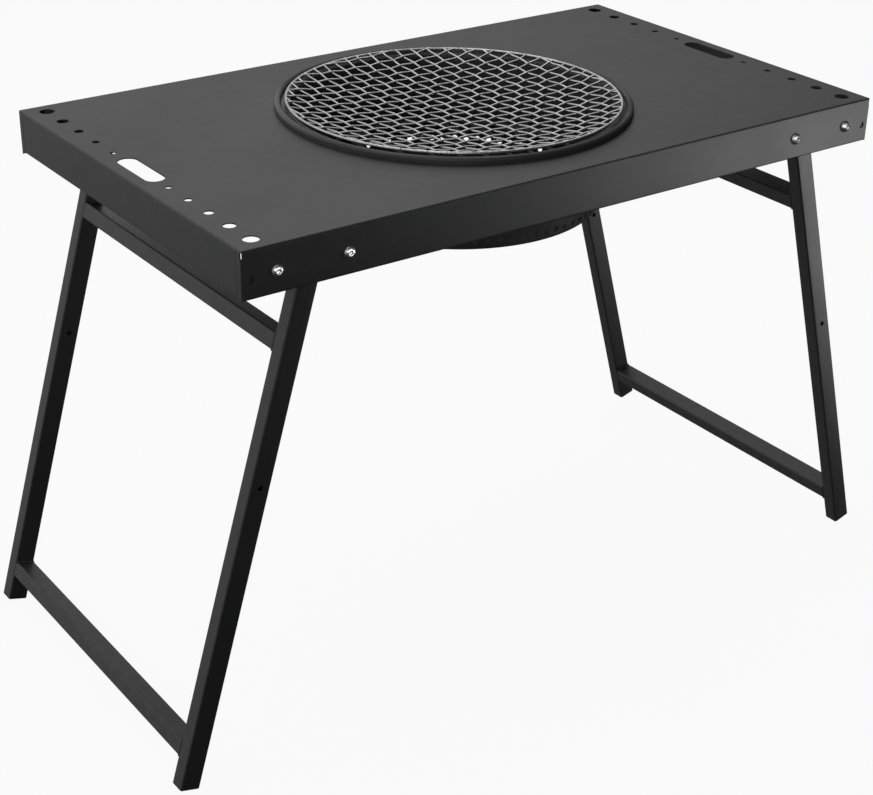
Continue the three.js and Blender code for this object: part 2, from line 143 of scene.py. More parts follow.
# ---- Node trees ----
class NodeDrawer:
    """Adds nodes to one node tree and joins their sockets."""

    def __init__(self, tree: bpy.types.NodeTree) -> None:
        """Starts with an empty tree.

        Args:
            tree: the tree to draw in.
        """
        self.tree = tree
        tree.nodes.clear()

    def add(self, kind: str, sockets: dict | None = None, **settings: object) -> bpy.types.Node:
        """Adds one node.

        Args:
            kind: the node's type name.
            sockets: input name or index to a value, or to the output socket that feeds it.
            settings: properties of the node.

        Returns:
            The new node.
        """
        node = self.tree.nodes.new(kind)
        for key, value in settings.items():
            setattr(node, key, value)
        for key, value in (sockets or {}).items():
            if isinstance(value, bpy.types.NodeSocket):
                self.tree.links.new(value, node.inputs[key])
            else:
                node.inputs[key].default_value = value
        return node

    def place(self) -> Socket:
        """The place on the object."""
        return self.add("ShaderNodeTexCoord").outputs["Object"]

    def normal(self) -> Socket:
        """The way that the surface looks."""
        return self.add("ShaderNodeNewGeometry").outputs["Normal"]

    def part(self, vector: object, axis: str) -> Socket:
        """One of a vector's three numbers."""
        return self.add("ShaderNodeSeparateXYZ", {0: vector}).outputs[axis]

    def maths(self, operation: str, first: object, second: object, clamp: bool = False) -> Socket:
        """The output of a Math node on two numbers or sockets."""
        node = self.add("ShaderNodeMath", {0: first, 1: second}, operation=operation, use_clamp=clamp)
        return node.outputs[0]

    def dot(self, first: object, second: object) -> Socket:
        """The dot product of two vectors."""
        node = self.add("ShaderNodeVectorMath", {0: first, 1: second}, operation="DOT_PRODUCT")
        return node.outputs["Value"]

    def ramp(self, value: object, low: float, high: float, to_low: float = 0.0,
             to_high: float = 1.0) -> Socket:
        """The output of a clamped Map Range node, smooth at both ends."""
        sockets = {"Value": value, "From Min": low, "From Max": high, "To Min": to_low, "To Max": to_high}
        return self.add("ShaderNodeMapRange", sockets, interpolation_type="SMOOTHSTEP").outputs["Result"]

    def blend(self, factor: object, first: object, second: object) -> Socket:
        """The colour between two colours."""
        node = self.add("ShaderNodeMix", {0: factor, 6: first, 7: second}, data_type="RGBA")
        return node.outputs[2]

    def share(self, first: object, second: object, share: float) -> Socket:
        """The sum of a share of the first value and the rest of the second."""
        rest = self.maths("MULTIPLY", second, 1.0 - share)
        return self.maths("ADD", self.maths("MULTIPLY", first, share), rest)

    def noise(self, vector: object, scale: object, detail: float, rough: float) -> Socket:
        """The value of a noise pattern."""
        sockets = {"Vector": vector, "Scale": scale, "Detail": detail, "Roughness": rough}
        return self.add("ShaderNodeTexNoise", sockets).outputs[0]

    def group(self, tree: bpy.types.NodeTree, **sockets: float) -> bpy.types.Node:
        """Places a node group with its own values.

        Args:
            tree: the group.
            sockets: its input values by name.

        Returns:
            The group's node.
        """
        node = self.add("ShaderNodeGroup")
        node.node_tree = tree
        for key, value in sockets.items():
            node.inputs[key].default_value = value
        return node


def new_group(name: str, inputs: dict[str, float], outputs: Sequence[str]) -> tuple:
    """Starts a node group whose sockets are all plain numbers.

    Args:
        name: the group's name.
        inputs: input names with their usual values.
        outputs: output names.

    Returns:
        The tree, its drawer, its input node and its output node.
    """
    tree = bpy.data.node_groups.new(name, "ShaderNodeTree")
    drawer = NodeDrawer(tree)
    for key, value in inputs.items():
        socket = tree.interface.new_socket(key, in_out="INPUT", socket_type="NodeSocketFloat")
        socket.default_value = value
    for key in outputs:
        tree.interface.new_socket(key, in_out="OUTPUT", socket_type="NodeSocketFloat")
    return tree, drawer, drawer.add("NodeGroupInput"), drawer.add("NodeGroupOutput")


@cache
def grain_group() -> bpy.types.NodeTree:
    """Draws fine grain over soft waves, as sprayed and baked coats have.

    Returns:
        The group, which puts out the grain's height and a slow change of tone.
    """
    usual = {"Grain": 900.0, "Waves": 160.0, "Share": 0.6}
    tree, draw, start, end = new_group("coat_grain", usual, ["Height", "Tone"])
    place = draw.place()
    fine = draw.noise(place, start.outputs["Grain"], detail=2.0, rough=0.6)
    waves = draw.noise(place, start.outputs["Waves"], detail=2.0, rough=0.4)
    cloud = draw.noise(place, scale=7.0, detail=3.0, rough=0.5)
    mixed = draw.maths("MULTIPLY", fine, start.outputs["Share"])
    rest = draw.maths("MULTIPLY", waves, draw.maths("SUBTRACT", 1.0, start.outputs["Share"]))
    tree.links.new(draw.maths("ADD", mixed, rest), end.inputs["Height"])
    tone = draw.share(cloud, fine, share=0.6)
    tree.links.new(draw.ramp(tone, low=0.3, high=0.7), end.inputs["Tone"])
    return tree


@cache
def wear_group() -> bpy.types.NodeTree:
    """Finds where handling has rubbed the outer edges, broken up by noise.

    Returns:
        The group, which puts out how far the coat is rubbed.
    """
    tree, draw, start, end = new_group("edge_wear", {"Amount": 0.5, "Patches": 60.0}, ["Mask"])
    pointed = draw.add("ShaderNodeNewGeometry").outputs["Pointiness"]
    edges = draw.ramp(pointed, low=0.515, high=0.60)
    patches = draw.noise(draw.place(), start.outputs["Patches"], detail=4.0, rough=0.6)
    rubbed = draw.maths("MULTIPLY", edges, draw.ramp(patches, low=0.42, high=0.62))
    mask = draw.maths("MULTIPLY", rubbed, start.outputs["Amount"])
    tree.links.new(mask, end.inputs["Mask"])
    return tree


@cache
def dust_group() -> bpy.types.NodeTree:
    """Lays a thin film of dust on faces that look up.

    Returns:
        The group, which puts out how thick the film is.
    """
    tree, draw, start, end = new_group("dust_film", {"Amount": 0.2, "Patches": 14.0}, ["Mask"])
    level = draw.ramp(draw.part(draw.normal(), "Z"), low=0.3, high=1.0)
    patches = draw.noise(draw.place(), start.outputs["Patches"], detail=5.0, rough=0.65)
    film = draw.maths("MULTIPLY", level, draw.ramp(patches, low=0.35, high=0.75))
    mask = draw.maths("MULTIPLY", film, start.outputs["Amount"])
    tree.links.new(mask, end.inputs["Mask"])
    return tree


def shade(name: str, draw_surface: Callable[[NodeDrawer], dict], relief: float) -> bpy.types.Material:
    """Makes a material round one Principled shader.

    Args:
        name: the material's name.
        draw_surface: draws the patterns and returns the shader's inputs, with the bump's
            height under "Height".
        relief: how far the height stands out, in metres.

    Returns:
        The material.
    """
    material = bpy.data.materials.new(name)
    material.use_nodes = True
    draw = NodeDrawer(material.node_tree)
    sockets = draw_surface(draw)
    height = sockets.pop("Height")
    bump = draw.add("ShaderNodeBump", {"Height": height, "Distance": relief, "Strength": 1.0})
    shader = draw.add("ShaderNodeBsdfPrincipled", {**sockets, "Normal": bump.outputs["Normal"]})
    draw.add("ShaderNodeOutputMaterial", {"Surface": shader.outputs[0]})
    return material


# ---- Finishes ----
@dataclass(frozen=True)
class PowderCoat:
    """Baked black powder coat: satin, faintly pebbled, rubbed on its edges."""

    name: str
    colour: Colour = (0.0235, 0.024, 0.0255, 1.0)
    pale: Colour = (0.0265, 0.027, 0.0285, 1.0)
    rubbed: Colour = (0.075, 0.075, 0.078, 1.0)
    dusty: Colour = (0.13, 0.127, 0.12, 1.0)
    smooth: float = 0.43
    rough: float = 0.47
    grain: float = 900.0
    relief: float = 0.00003
    wear: float = 0.12
    dust: float = 0.02
    dust_rough: float = 0.6

    @cache
    def material(self) -> bpy.types.Material:
        """The coat as a material."""
        return shade(self.name, self._surface, self.relief)

    def _surface(self, draw: NodeDrawer) -> dict:
        """Draws the patterns of the surface.

        Args:
            draw: draws in the material's tree.

        Returns:
            The shader's inputs, with the bump's height.
        """
        grain = draw.group(grain_group(), Grain=self.grain)
        wear = draw.group(wear_group(), Amount=self.wear).outputs["Mask"]
        dust = draw.group(dust_group(), Amount=self.dust).outputs["Mask"]
        colour = draw.blend(grain.outputs["Tone"], self.colour, self.pale)
        colour = draw.blend(dust, draw.blend(wear, colour, self.rubbed), self.dusty)
        rough = draw.ramp(grain.outputs["Tone"], 0.0, 1.0, self.smooth, self.rough)
        rough = draw.maths("ADD", rough, draw.maths("MULTIPLY", dust, self.dust_rough), clamp=True)
        return {"Base Color": colour, "Roughness": rough, "Height": grain.outputs["Height"]}


@dataclass(frozen=True)
class HeatEnamel:
    """Heat-proof black of the pan and grate, with soot where the fire sits.

    The soot lies on faces that look in or up. It starts at soot_top and is full at soot_full,
    both heights in metres.
    """

    name: str
    colour: Colour = (0.034, 0.034, 0.036, 1.0)
    soot: Colour = (0.005, 0.0048, 0.0045, 1.0)
    rubbed: Colour = (0.09, 0.09, 0.095, 1.0)
    soot_top: float = 0.70
    soot_full: float = 0.60
    pan_radius: float = 0.2
    smooth: float = 0.34
    rough: float = 0.85
    wear: float = 0.35
    relief: float = 0.00004

    @cache
    def material(self) -> bpy.types.Material:
        """The enamel as a material."""
        return shade(self.name, self._surface, self.relief)

    def _surface(self, draw: NodeDrawer) -> dict:
        """Draws the patterns of the surface.

        Args:
            draw: draws in the material's tree.

        Returns:
            The shader's inputs, with the bump's height.
        """
        grain = draw.group(grain_group(), Grain=700.0, Waves=90.0, Share=0.45)
        place, normal = draw.place(), draw.normal()
        low = draw.ramp(draw.part(place, "Z"), self.soot_top, self.soot_full)
        flatten = (1 / self.pan_radius, 1 / self.pan_radius, 0)
        out = draw.add("ShaderNodeVectorMath", {0: place, 1: flatten}, operation="MULTIPLY").outputs[0]
        looks_in = draw.maths("SUBTRACT", draw.part(normal, "Z"), draw.dot(normal, out))
        inside = draw.ramp(looks_in, low=-0.2, high=0.2)
        cloud = draw.noise(place, scale=22.0, detail=5.0, rough=0.6)
        cloud = draw.ramp(cloud, low=0.38, high=0.66, to_low=0.7, to_high=1.0)
        soot = draw.maths("MULTIPLY", draw.maths("MULTIPLY", low, inside), cloud)
        wear = draw.group(wear_group(), Amount=self.wear).outputs["Mask"]
        colour = draw.blend(wear, draw.blend(soot, self.colour, self.soot), self.rubbed)
        dulled = draw.maths("MAXIMUM", soot, grain.outputs["Tone"])
        rough = draw.ramp(dulled, 0.0, 1.0, self.smooth, self.rough)
        return {"Base Color": colour, "Roughness": rough, "Height": grain.outputs["Height"]}


@dataclass(frozen=True)
class BrightMetal:
    """Bare bright steel with fine draw lines and a little dulling."""

    name: str
    bright: Colour = (0.66, 0.66, 0.665, 1.0)
    dull: Colour = (0.40, 0.395, 0.385, 1.0)
    smooth: float = 0.16
    rough: float = 0.34
    lines: float = 1500.0
    patches: float = 90.0
    relief: float = 0.000006

    @cache
    def material(self) -> bpy.types.Material:
        """The metal as a material."""
        return shade(self.name, self._surface, self.relief)

    def _surface(self, draw: NodeDrawer) -> dict:
        """Draws the patterns of the surface.

        Args:
            draw: draws in the material's tree.

        Returns:
            The shader's inputs, with the bump's height.
        """
        place = draw.place()
        fine = draw.noise(place, self.lines, detail=2.0, rough=0.6)
        patch = draw.noise(place, self.patches, detail=4.0, rough=0.6)
        mixed = draw.share(draw.ramp(patch, low=0.36, high=0.68), fine, share=0.75)
        return {
            "Base Color": draw.blend(mixed, self.bright, self.dull),
            "Roughness": draw.ramp(mixed, 0.0, 1.0, self.smooth, self.rough),
            "Metallic": 1.0,
            "Height": fine,
        }


@dataclass(frozen=True)
class ZincPlate:
    """Zinc-plated steel: grey, satin, with a faint crystal pattern."""

    name: str
    colour: Colour = (0.46, 0.47, 0.48, 1.0)
    shadow: Colour = (0.33, 0.34, 0.355, 1.0)
    crystals: float = 320.0
    smooth: float = 0.30
    rough: float = 0.50
    relief: float = 0.00001

    @cache
    def material(self) -> bpy.types.Material:
        """The plating as a material."""
        return shade(self.name, self._surface, self.relief)

    def _surface(self, draw: NodeDrawer) -> dict:
        """Draws the patterns of the surface.

        Args:
            draw: draws in the material's tree.

        Returns:
            The shader's inputs, with the bump's height.
        """
        place = draw.place()
        cells = draw.add("ShaderNodeTexVoronoi", {"Vector": place, "Scale": self.crystals})
        cloud = draw.noise(place, scale=70.0, detail=4.0, rough=0.6)
        mixed = draw.share(draw.part(cells.outputs["Color"], "X"), cloud, share=0.4)
        return {
            "Base Color": draw.blend(mixed, self.colour, self.shadow),
            "Roughness": draw.ramp(mixed, 0.0, 1.0, self.smooth, self.rough),
            "Metallic": 1.0,
            "Height": cloud,
        }


@dataclass(frozen=True)
class MouldedPlastic:
    """Moulded plastic with a fine spark-eroded grain."""

    name: str
    colour: Colour
    pale: Colour
    smooth: float
    rough: float
    relief: float = 0.00004

    @cache
    def material(self) -> bpy.types.Material:
        """The plastic as a material."""
        return shade(self.name, self._surface, self.relief)

    def _surface(self, draw: NodeDrawer) -> dict:
        """Draws the patterns of the surface.

        Args:
            draw: draws in the material's tree.

        Returns:
            The shader's inputs, with the bump's height.
        """
        grain = draw.group(grain_group(), Grain=1600.0, Waves=500.0, Share=0.8)
        scuffs = draw.group(wear_group(), Amount=0.8, Patches=140.0).outputs["Mask"]
        tone = draw.maths("ADD", grain.outputs["Tone"], scuffs, clamp=True)
        return {
            "Base Color": draw.blend(tone, self.colour, self.pale),
            "Roughness": draw.ramp(tone, 0.0, 1.0, self.smooth, self.rough),
            "Height": grain.outputs["Height"],
        }


TABLE_COAT = PowderCoat("table_powder_coat")
LEG_COAT = PowderCoat("leg_powder_coat", wear=0.2, dust=0.01)
PAN_ENAMEL = HeatEnamel("pan_enamel")
GRATE_BLACK = HeatEnamel("grate_black", soot_top=0.66, smooth=0.5, rough=0.75)
MESH_WIRE = BrightMetal("bright_wire", (0.58, 0.58, 0.585, 1.0), (0.38, 0.375, 0.37, 1.0), 0.30, 0.46)
DOME_STEEL = BrightMetal("bright_bolt_steel", bright=(0.86, 0.86, 0.865, 1.0), smooth=0.22, rough=0.36)
FITTING_ZINC = ZincPlate("zinc_plate")
FOOT_PLASTIC = MouldedPlastic("foot_plastic", (0.012, 0.012, 0.012, 1), (0.03, 0.03, 0.03, 1), 0.5, 0.75)
WASHER_NYLON = MouldedPlastic("washer_nylon", (0.68, 0.66, 0.6, 1), (0.52, 0.5, 0.45, 1), 0.4, 0.6)
Finish = PowderCoat | HeatEnamel | BrightMetal | ZincPlate | MouldedPlastic


# ---- Modelling ----
def turn(degrees: float, axis: str) -> Matrix:
    """A rotation about one of the axes."""
    return Matrix.Rotation(math.radians(degrees), 4, axis)


def shift(x: float, y: float, z: float) -> Matrix:
    """A move."""
    return Matrix.Translation((x, y, z))


def edges_of(verts: Sequence[BMVert]) -> list[BMEdge]:
    """All edges that touch these vertices, once each."""
    return list(dict.fromkeys(edge for vert in verts for edge in vert.link_edges))


def verts_in(geom: Sequence) -> list[BMVert]:
    """The vertices among the items that an operator gives back."""
    return [item for item in geom if isinstance(item, BMVert)]


def around(faces: Sequence[BMFace]) -> list:
    """These faces with all their edges and vertices, once each."""
    borders = [item for face in faces for item in (*face.edges, *face.verts)]
    return list(dict.fromkeys([*faces, *borders]))


def box_size(x: float, y: float, z: float) -> Matrix:
    """Stretches a cube or a square of one millimetre."""
    return Matrix.Diagonal((x, y, z, 1.0))


def move_all(bm: BMesh, place: Matrix) -> None:
    """Moves the whole mesh."""
    bmesh.ops.transform(bm, verts=list(bm.verts), matrix=place)


def pull(bm: BMesh, edges: Sequence[BMEdge], way: tuple[float, float, float]) -> list[BMVert]:
    """Draws edges out into faces.

    Args:
        bm: the mesh.
        edges: the edges.
        way: how far they go.

    Returns:
        The vertices at the far side.
    """
    made = verts_in(bmesh.ops.extrude_edge_only(bm, edges=list(edges))["geom"])
    bmesh.ops.translate(bm, verts=made, vec=way)
    return made


def spin_round(bm: BMesh, section: Sequence, steps: int) -> None:
    """Spins a section once round the Z axis, and merges what meets.

    Args:
        bm: the mesh, which holds nothing but the section.
        section: the section's vertices and edges.
        steps: how many steps the round has.
    """
    bmesh.ops.spin(bm, geom=list(section), cent=(0, 0, 0), axis=(0, 0, 1), angle=math.tau, steps=steps,
                   use_merge=True, use_duplicate=False)
    bmesh.ops.remove_doubles(bm, verts=list(bm.verts), dist=MERGE)


def wire_ring(radius: float, wire: float, height: float, steps: int) -> BMesh:
    """Models a ring of round wire by spinning its section.

    Args:
        radius: radius of the ring's middle line.
        wire: radius of the wire.
        height: how high the middle line is.
        steps: how many steps the ring has.

    Returns:
        The ring.
    """
    bm = bmesh.new()
    place = shift(radius, 0, height) @ turn(90, "X")
    made = bmesh.ops.create_circle(bm, cap_ends=False, segments=12, radius=wire, matrix=place)["verts"]
    spin_round(bm, made + edges_of(made), steps)
    bmesh.ops.recalc_face_normals(bm, faces=list(bm.faces))
    return bm


def bevel(bm: BMesh, geom: Sequence, width: float, segments: int, affect: str = "EDGES") -> None:
    """Rounds edges or corners of a mesh.

    Args:
        bm: the mesh.
        geom: the edges, or the vertices when affect is VERTICES.
        width: the radius of the rounding.
        segments: how many steps it has.
        affect: EDGES or VERTICES.
    """
    bmesh.ops.bevel(bm, geom=list(geom), offset=width, offset_type="OFFSET", segments=segments,
                    profile=0.5, affect=affect, clamp_overlap=True, material=-1)


def rounded_loop(bm: BMesh, size: tuple[float, float], corner: float, place: Matrix) -> list[BMVert]:
    """Lays out a rectangle with round corners as a loop of edges.

    Args:
        bm: the mesh to add to.
        size: width along X and along Y.
        corner: radius of its corners.
        place: where the loop goes.

    Returns:
        The loop's vertices.
    """
    count = 4 * CORNER_STEPS
    radius = corner / math.cos(math.pi / count)
    made = bmesh.ops.create_circle(bm, cap_ends=False, segments=count, radius=radius)["verts"]
    bmesh.ops.rotate(bm, verts=made, cent=(0, 0, 0), matrix=Matrix.Rotation(math.pi / count, 3, "Z"))
    for vert in made:
        vert.co.x += math.copysign(size[0] / 2 - corner, vert.co.x)
        vert.co.y += math.copysign(size[1] / 2 - corner, vert.co.y)
    bmesh.ops.transform(bm, verts=made, matrix=place)
    return made


def hole_ring(bm: BMesh, place: Matrix, radius: float, stretch: float = 0.0,
              steps: int = 32) -> list[BMEdge]:
    """Lays a narrow flat ring of faces round a hole, for a sheet to be filled up to.

    Args:
        bm: the mesh to add to.
        place: the hole's middle, its plane being the place's own XY plane.
        radius: the hole's radius.
        stretch: how far each half of the hole is drawn out along Y.
        steps: edges round the hole.

    Returns:
        The ring's outer edges.
    """
    loops = []
    for reach in (radius + HOLE_BORDER, radius):
        made = bmesh.ops.create_circle(bm, cap_ends=False, segments=steps, radius=reach)["verts"]
        bmesh.ops.rotate(bm, verts=made, cent=(0, 0, 0), matrix=Matrix.Rotation(math.pi / steps, 3, "Z"))
        for vert in made:
            vert.co.y += math.copysign(stretch, vert.co.y)
        bmesh.ops.transform(bm, verts=made, matrix=place)
        loops.append(edges_of(made))
    bmesh.ops.bridge_loops(bm, edges=loops[0] + loops[1])
    return loops[0]


def refill(bm: BMesh, face: BMFace, rings: Sequence[list[BMEdge]]) -> None:
    """Replaces a flat face by a filling that leaves the rings' holes open.

    Args:
        bm: the mesh.
        face: the flat face.
        rings: the outer edges of each hole's ring.
    """
    normal, border = face.normal.copy(), list(face.edges)
    bmesh.ops.delete(bm, geom=[face], context="FACES_ONLY")
    edges = border + [edge for ring in rings for edge in ring]
    bmesh.ops.triangle_fill(bm, use_beauty=True, use_dissolve=False, edges=edges, normal=normal)


def widest(bm: BMesh, normal: tuple[float, float, float]) -> BMFace:
    """The largest face that looks along a direction."""
    way = Vector(normal)
    return max((f for f in bm.faces if f.normal.dot(way) > PARALLEL), key=lambda f: f.calc_area())


def face_outwards(bm: BMesh, point: Vector) -> None:
    """Turns all faces the same way, the one nearest to a point outside looking at it.

    Args:
        bm: the mesh, in one connected piece.
        point: a point outside, close to a face.
    """
    bmesh.ops.recalc_face_normals(bm, faces=list(bm.faces))
    near = min(bm.faces, key=lambda f: (f.calc_center_median() - point).length_squared)
    if near.normal.dot(point - near.calc_center_median()) < 0:
        bmesh.ops.reverse_faces(bm, faces=list(bm.faces))


Ring = tuple[float, Callable[[float], float]]  # height, and radius at each angle
Line = tuple[list[Vector], list[float]]  # points, and the share of the radius at each


def round_at(radius: float) -> Callable[[float], float]:
    """A ring's outline that is a circle."""
    return lambda _angle: radius


def hex_at(across: float, most: float = math.inf) -> Callable[[float], float]:
    """A ring's outline that is a hexagon, with its corners cut off by a circle.

    Args:
        across: the distance between opposite flats.
        most: the circle's radius.

    Returns:
        The outline as a function from angle to radius.
    """
    sixth = math.pi / 3

    def outline(angle: float) -> float:
        """The radius at an angle."""
        return min(most, across / 2 / math.cos((angle % sixth) - sixth / 2))

    return outline


def stack(bm: BMesh, rings: Sequence[Ring], steps: int, closed: bool) -> list[BMVert]:
    """Draws a skin through a pile of rings round the Z axis.

    Args:
        bm: the mesh to add to.
        rings: height and outline of each ring, in order along the skin.
        steps: edges round each ring.
        closed: whether the last ring joins the first, as on a nut. Otherwise both are capped.

    Returns:
        The new vertices.
    """
    made = bmesh.ops.create_circle(bm, cap_ends=not closed, segments=steps, radius=1.0)["verts"]
    angles = [math.atan2(vert.co.y, vert.co.x) for vert in made]
    loop, every = list(made), list(made)
    first = edges_of(made)
    edges = first
    for count, (height, outline) in enumerate(rings):
        if count:
            spun = bmesh.ops.extrude_edge_only(bm, edges=edges)["geom"]
            edges = [item for item in spun if isinstance(item, BMEdge)]
            loop = sorted(verts_in(spun), key=lambda v: math.atan2(v.co.y, v.co.x))
            angles = [math.atan2(vert.co.y, vert.co.x) for vert in loop]
            every += loop
        for vert, angle in zip(loop, angles, strict=True):
            reach = outline(angle % math.tau)
            vert.co = (reach * math.cos(angle), reach * math.sin(angle), height)
    if closed:
        bmesh.ops.bridge_loops(bm, edges=first + edges)
    else:
        bmesh.ops.contextual_create(bm, geom=edges)
    bmesh.ops.recalc_face_normals(bm, faces=list(dict.fromkeys(f for v in every for f in v.link_faces)))
    return every


def swept(lines: Sequence[Line], radius: float, sides: int, cyclic: bool) -> bpy.types.Mesh:
    """Sweeps a round section along lines.

    Args:
        lines: the lines.
        radius: radius of the section.
        sides: sides of the section, an even number from 4.
        cyclic: whether each line closes on itself.

    Returns:
        The sweeps as one mesh.
    """
    curve = bpy.data.curves.new("sweep", "CURVE")
    curve.dimensions = "3D"
    curve.bevel_depth = radius
    curve.bevel_resolution = (sides - 4) // 2
    curve.use_fill_caps = not cyclic
    for points, shares in lines:
        spline = curve.splines.new("POLY")
        spline.points.add(len(points) - 1)
        spline.use_cyclic_u = cyclic
        for slot, point, share in zip(spline.points, points, shares, strict=True):
            slot.co, slot.radius = (*point, 1.0), share
    holder = bpy.data.objects.new("sweep", curve)
    bpy.context.scene.collection.objects.link(holder)
    bpy.context.view_layer.update()
    graph = bpy.context.evaluated_depsgraph_get()
    mesh = bpy.data.meshes.new_from_object(holder.evaluated_get(graph))
    bpy.data.objects.remove(holder)
    bpy.data.curves.remove(curve)
    return mesh


def absorb(bm: BMesh, mesh: bpy.types.Mesh, place: Matrix = Matrix.Identity(4)) -> None:
    """Adds a mesh to the one being modelled and drops it.

    Args:
        bm: the mesh being modelled.
        mesh: the mesh to add.
        place: where it goes.
    """
    mesh.transform(place)
    bm.from_mesh(mesh)
    bpy.data.meshes.remove(mesh)


@dataclass(frozen=True)
class Piece:
    """What a finished piece is called, what it rides on and what it stands for.

    The wall is the thickness that its skin gets inwards, the edge is the rounding of its sharp
    edges, and edges are sharp from an angle of sharp degrees.
    """

    name: str
    body: Body
    slot: Slot
    finish: Finish
    stands_for: tuple[str, ...]
    wall: float = 0.0
    edge: float = 0.0
    sharp: float = 38.0

    def finish_mesh(self, bm: BMesh) -> bpy.types.Object:
        """Turns a modelled skin into a finished object in metres.

        Args:
            bm: the skin in millimetres, in place. It is freed.

        Returns:
            The object, riding on its body.
        """
        draft = bpy.data.meshes.new(self.name)
        bm.to_mesh(draft)
        bm.free()
        obj = bpy.data.objects.new(self.name, draft)
        bpy.context.scene.collection.objects.link(obj)
        if self.wall:
            wall = obj.modifiers.new("wall", "SOLIDIFY")
            wall.thickness, wall.offset, wall.use_even_offset = self.wall, -1.0, True
        if self.edge:
            edge = obj.modifiers.new("edge", "BEVEL")
            edge.width, edge.segments, edge.limit_method = self.edge, 2, "ANGLE"
            edge.angle_limit = math.radians(self.sharp)
        bpy.context.view_layer.update()
        graph = bpy.context.evaluated_depsgraph_get()
        made = bpy.data.meshes.new_from_object(obj.evaluated_get(graph))
        obj.modifiers.clear()
        obj.data = made
        bpy.data.meshes.remove(draft)
        made.name = self.name
        made.transform(Matrix.Scale(MILLIMETRE, 4))
        made.shade_smooth()
        made.set_sharp_from_angle(angle=math.radians(self.sharp))
        made.materials.clear()
        made.materials.append(self.finish.material())
        normals = obj.modifiers.new("normals", "WEIGHTED_NORMAL")
        normals.keep_sharp = True
        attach(obj, self.body.value)
        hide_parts(*self.stands_for)
        LOG.info("%s: %d faces, on %s", self.name, len(made.polygons), self.body.value)
        return obj


